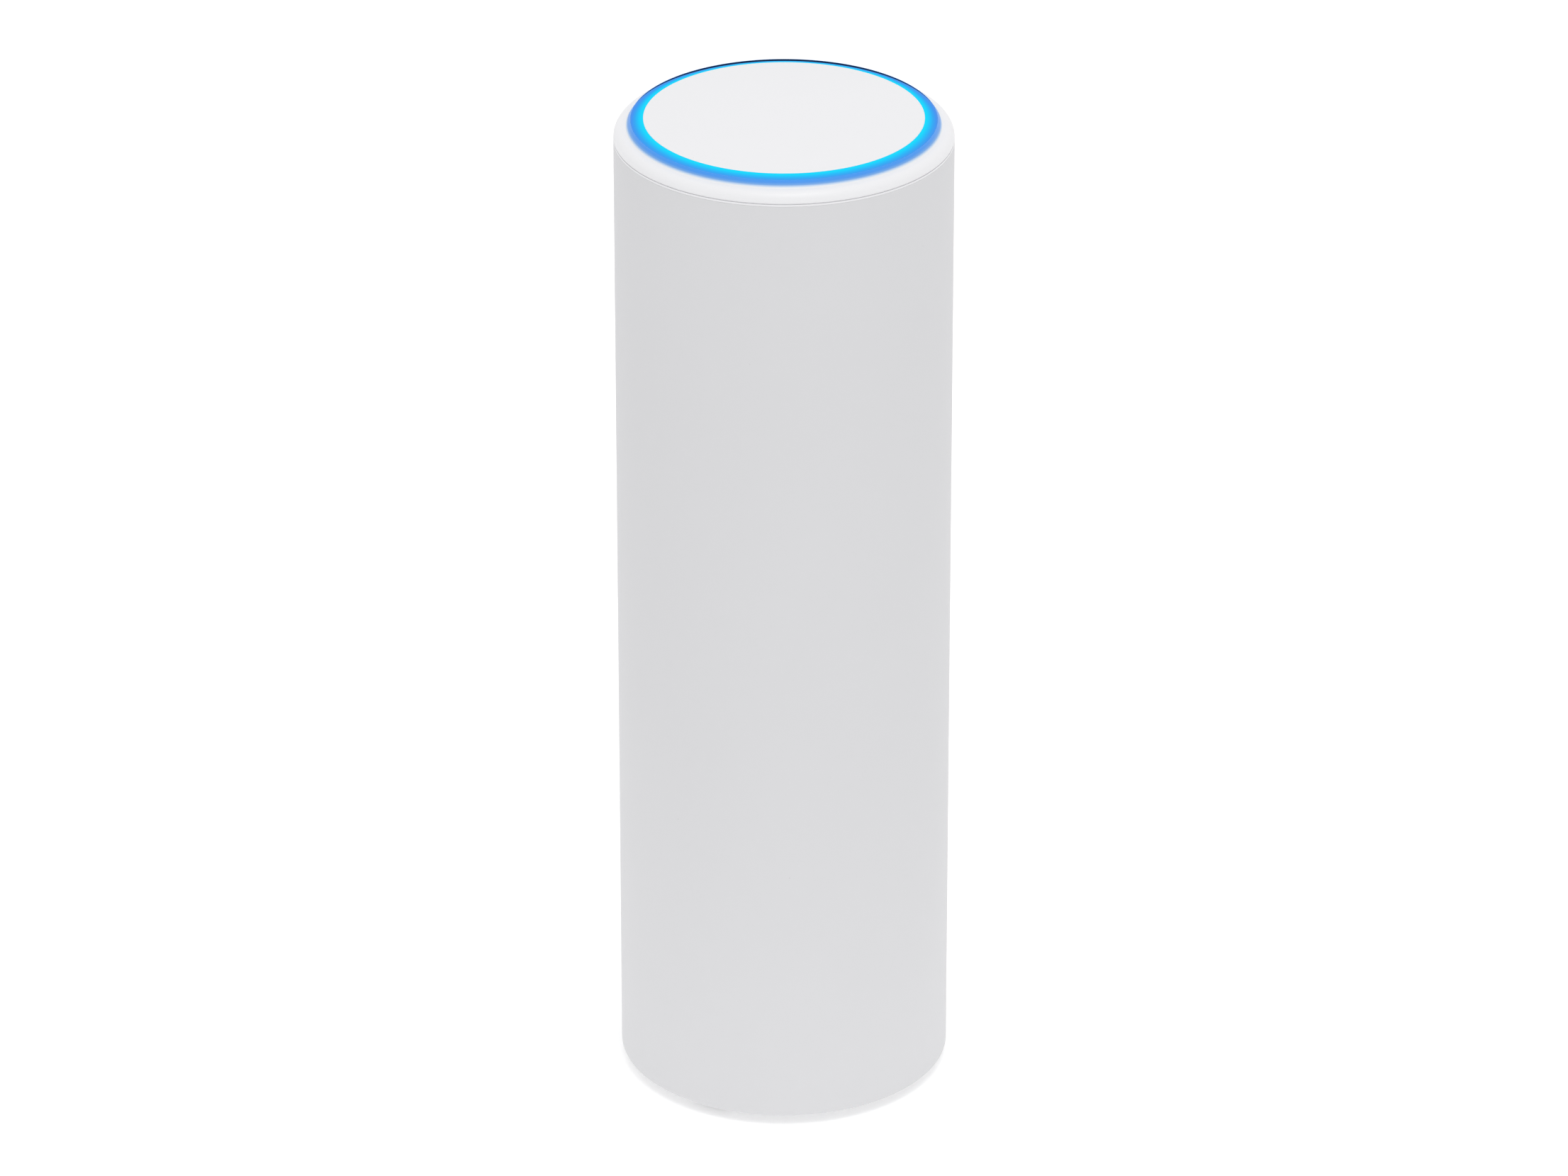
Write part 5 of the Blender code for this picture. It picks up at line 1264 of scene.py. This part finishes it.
for node in ("radio_shield_lower", "radio_shield_upper"):
    shield = framed_box(*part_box(node), (0, -1, 0), SHIELD_FRAME, SHIELD_STEP, SHIELD_ROUND)
    make_piece(f"lidded_{node}", shield, node)
for node in numbered("led"):
    low_z, high_z = heights_of(node)
    middle = middle_of(node)
    half = Vector((LAMP_SIDE / 2, LAMP_SIDE / 2, (high_z - low_z) / 2))
    lamp = framed_box(-half, half, (0, 0, 1), LAMP_FRAME, LAMP_STEP, LAMP_ROUND)
    facing = Matrix.Rotation(math.atan2(middle.y, middle.x), 4, "Z")
    bmesh.ops.transform(lamp, matrix=Matrix.Translation(middle) @ facing, verts=lamp.verts)
    make_piece(f"windowed_{node}", lamp, node)

# %% [markdown]
# ## Antennas and their carrier
#
# Four copper foils lie on a bent carrier in front of the board. All five are sectors of a thin
# tube, so the sector function serves again, and each foil's slot is one more sector, cut out of
# it. The slot is what tunes such an antenna.

# %% Carrier and foils
CARRIER_WALL = 1.2 * MM
FOIL_WALL = 0.4 * MM
FOIL_WIDTH_DEG = 30.0
FOIL_FOOT = 6.0 * MM      # foil left whole below its slot
SLOT_WIDTH_DEG = 4.0
SLOT_OFF_DEG = 6.0
FOIL_ANGLES = (198.0, 246.0, 294.0, 342.0)

carrier_low, carrier_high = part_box("antenna_carrier")
carrier_r = -carrier_low.y
carrier_edge = math.degrees(math.asin(carrier_high.y / carrier_r))
carrier = sector((carrier_r - CARRIER_WALL, carrier_r), (carrier_low.z, carrier_high.z), 270.0,
                 180.0 + 2 * carrier_edge)
make_piece("bent_carrier", carrier, "antenna_carrier")
foil_bore = carrier_r + FIT_GAP
foil_r = foil_bore + FOIL_WALL
for node, degrees in zip(numbered("antenna"), FOIL_ANGLES):
    low_z, high_z = heights_of(node)
    foil = sector((foil_bore, foil_r), (low_z, high_z), degrees, FOIL_WIDTH_DEG)
    slot = sector((foil_bore - BITE, foil_r + BITE), (low_z + FOIL_FOOT, high_z + OVERRUN),
                  degrees + SLOT_OFF_DEG, SLOT_WIDTH_DEG)
    make_piece(node.replace("antenna", "copper_foil"), carve(foil, slot), node)

# %% [markdown]
# ## Rubber seal and antenna leads
#
# The seal in the shoulder's groove is a circle swept round the axis. The leads are thin cables
# that bend in a few straight runs in the engineering model. A copy of each mesh is welded, and a
# Subdivision modifier then draws its corners out into smooth bends, as a cable lies.

# %% Seal and leads
SEAL_SECTION_STEPS = 16
LEAD_LEVELS = 2

seal_low, seal_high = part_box("shoulder_o_ring")
seal_half = (seal_high.z - seal_low.z) / 2
section = arc((seal_high.x - seal_half, seal_low.z + seal_half), (seal_half, seal_half), 90.0, -270.0,
              SEAL_SECTION_STEPS)[:-1]
make_piece("round_seal", spun(section), "shoulder_o_ring")


def merged_copy(node):
    """A copy of a node's mesh, with its loose triangles welded."""
    shape = bmesh.new()
    shape.from_mesh(frame["nodes"][node].data)
    bmesh.ops.remove_doubles(shape, verts=shape.verts, dist=WELD)
    return shape


for node in numbered("antenna_lead"):
    lead = make_piece(node.replace("antenna", "smooth"), merged_copy(node), node)
    smooth = lead.modifiers.new("smooth_bends", "SUBSURF")
    smooth.levels = LEAD_LEVELS
    smooth.render_levels = LEAD_LEVELS

# %% [markdown]
# ## Everything else, with its edges softened
#
# The other pieces have the right shape already. What gives an engineering model away is its knife
# edges: a moulded or pressed edge always has a small round that catches the light. So each node's
# mesh is copied, its loose triangles are merged, its flat faces are joined again, and its sharp
# edges are bevelled by what suits the piece.

# %% Softened copies
FLAT_DEG = 1.0
SOFT_EDGES = {
    "chassis": 0.2, "jack_insert": 0.12, "jack_shell": 0.08, "jack_contacts": 0.06,
    "reset_button": 0.15, "reset_switch": 0.15, "main_board": 0.1, "led_board": 0.1,
    "light_baffle": 0.15, "lan_magnetics": 0.15, "power_inductor": 0.2, "poe_transformer": 0.2,
    "processor": 0.1, "memory_chip": 0.1, "thermal_pad": 0.15, "heat_sink": 0.15, "led_cable": 0.05,
}


def softened(node, width):
    """A copy of a node's mesh with its sharp edges rounded."""
    shape = merged_copy(node)
    bmesh.ops.dissolve_limit(shape, angle_limit=math.radians(FLAT_DEG), verts=shape.verts,
                             edges=shape.edges)
    sharp = [edge for edge in shape.edges
             if edge.is_manifold and edge.calc_face_angle() > math.radians(SHARP_DEG)]
    round_edges(shape, sharp, width, FEW_SEGMENTS)
    return shape


for node, width in SOFT_EDGES.items():
    piece = make_piece(f"soft_{node}", softened(node, width * MM), node)
    piece.modifiers.new("even_shading", "WEIGHTED_NORMAL").keep_sharp = True

# %% [markdown]
# ## Last count of the pieces
#
# The looks may not change the size. The frame's box was kept at the start. By now each node has
# its piece, and the count shows if one was forgotten.

# %% Count of the pieces
print("nodes without a piece:", sum(not item.hide_render for item in frame["nodes"].values()))
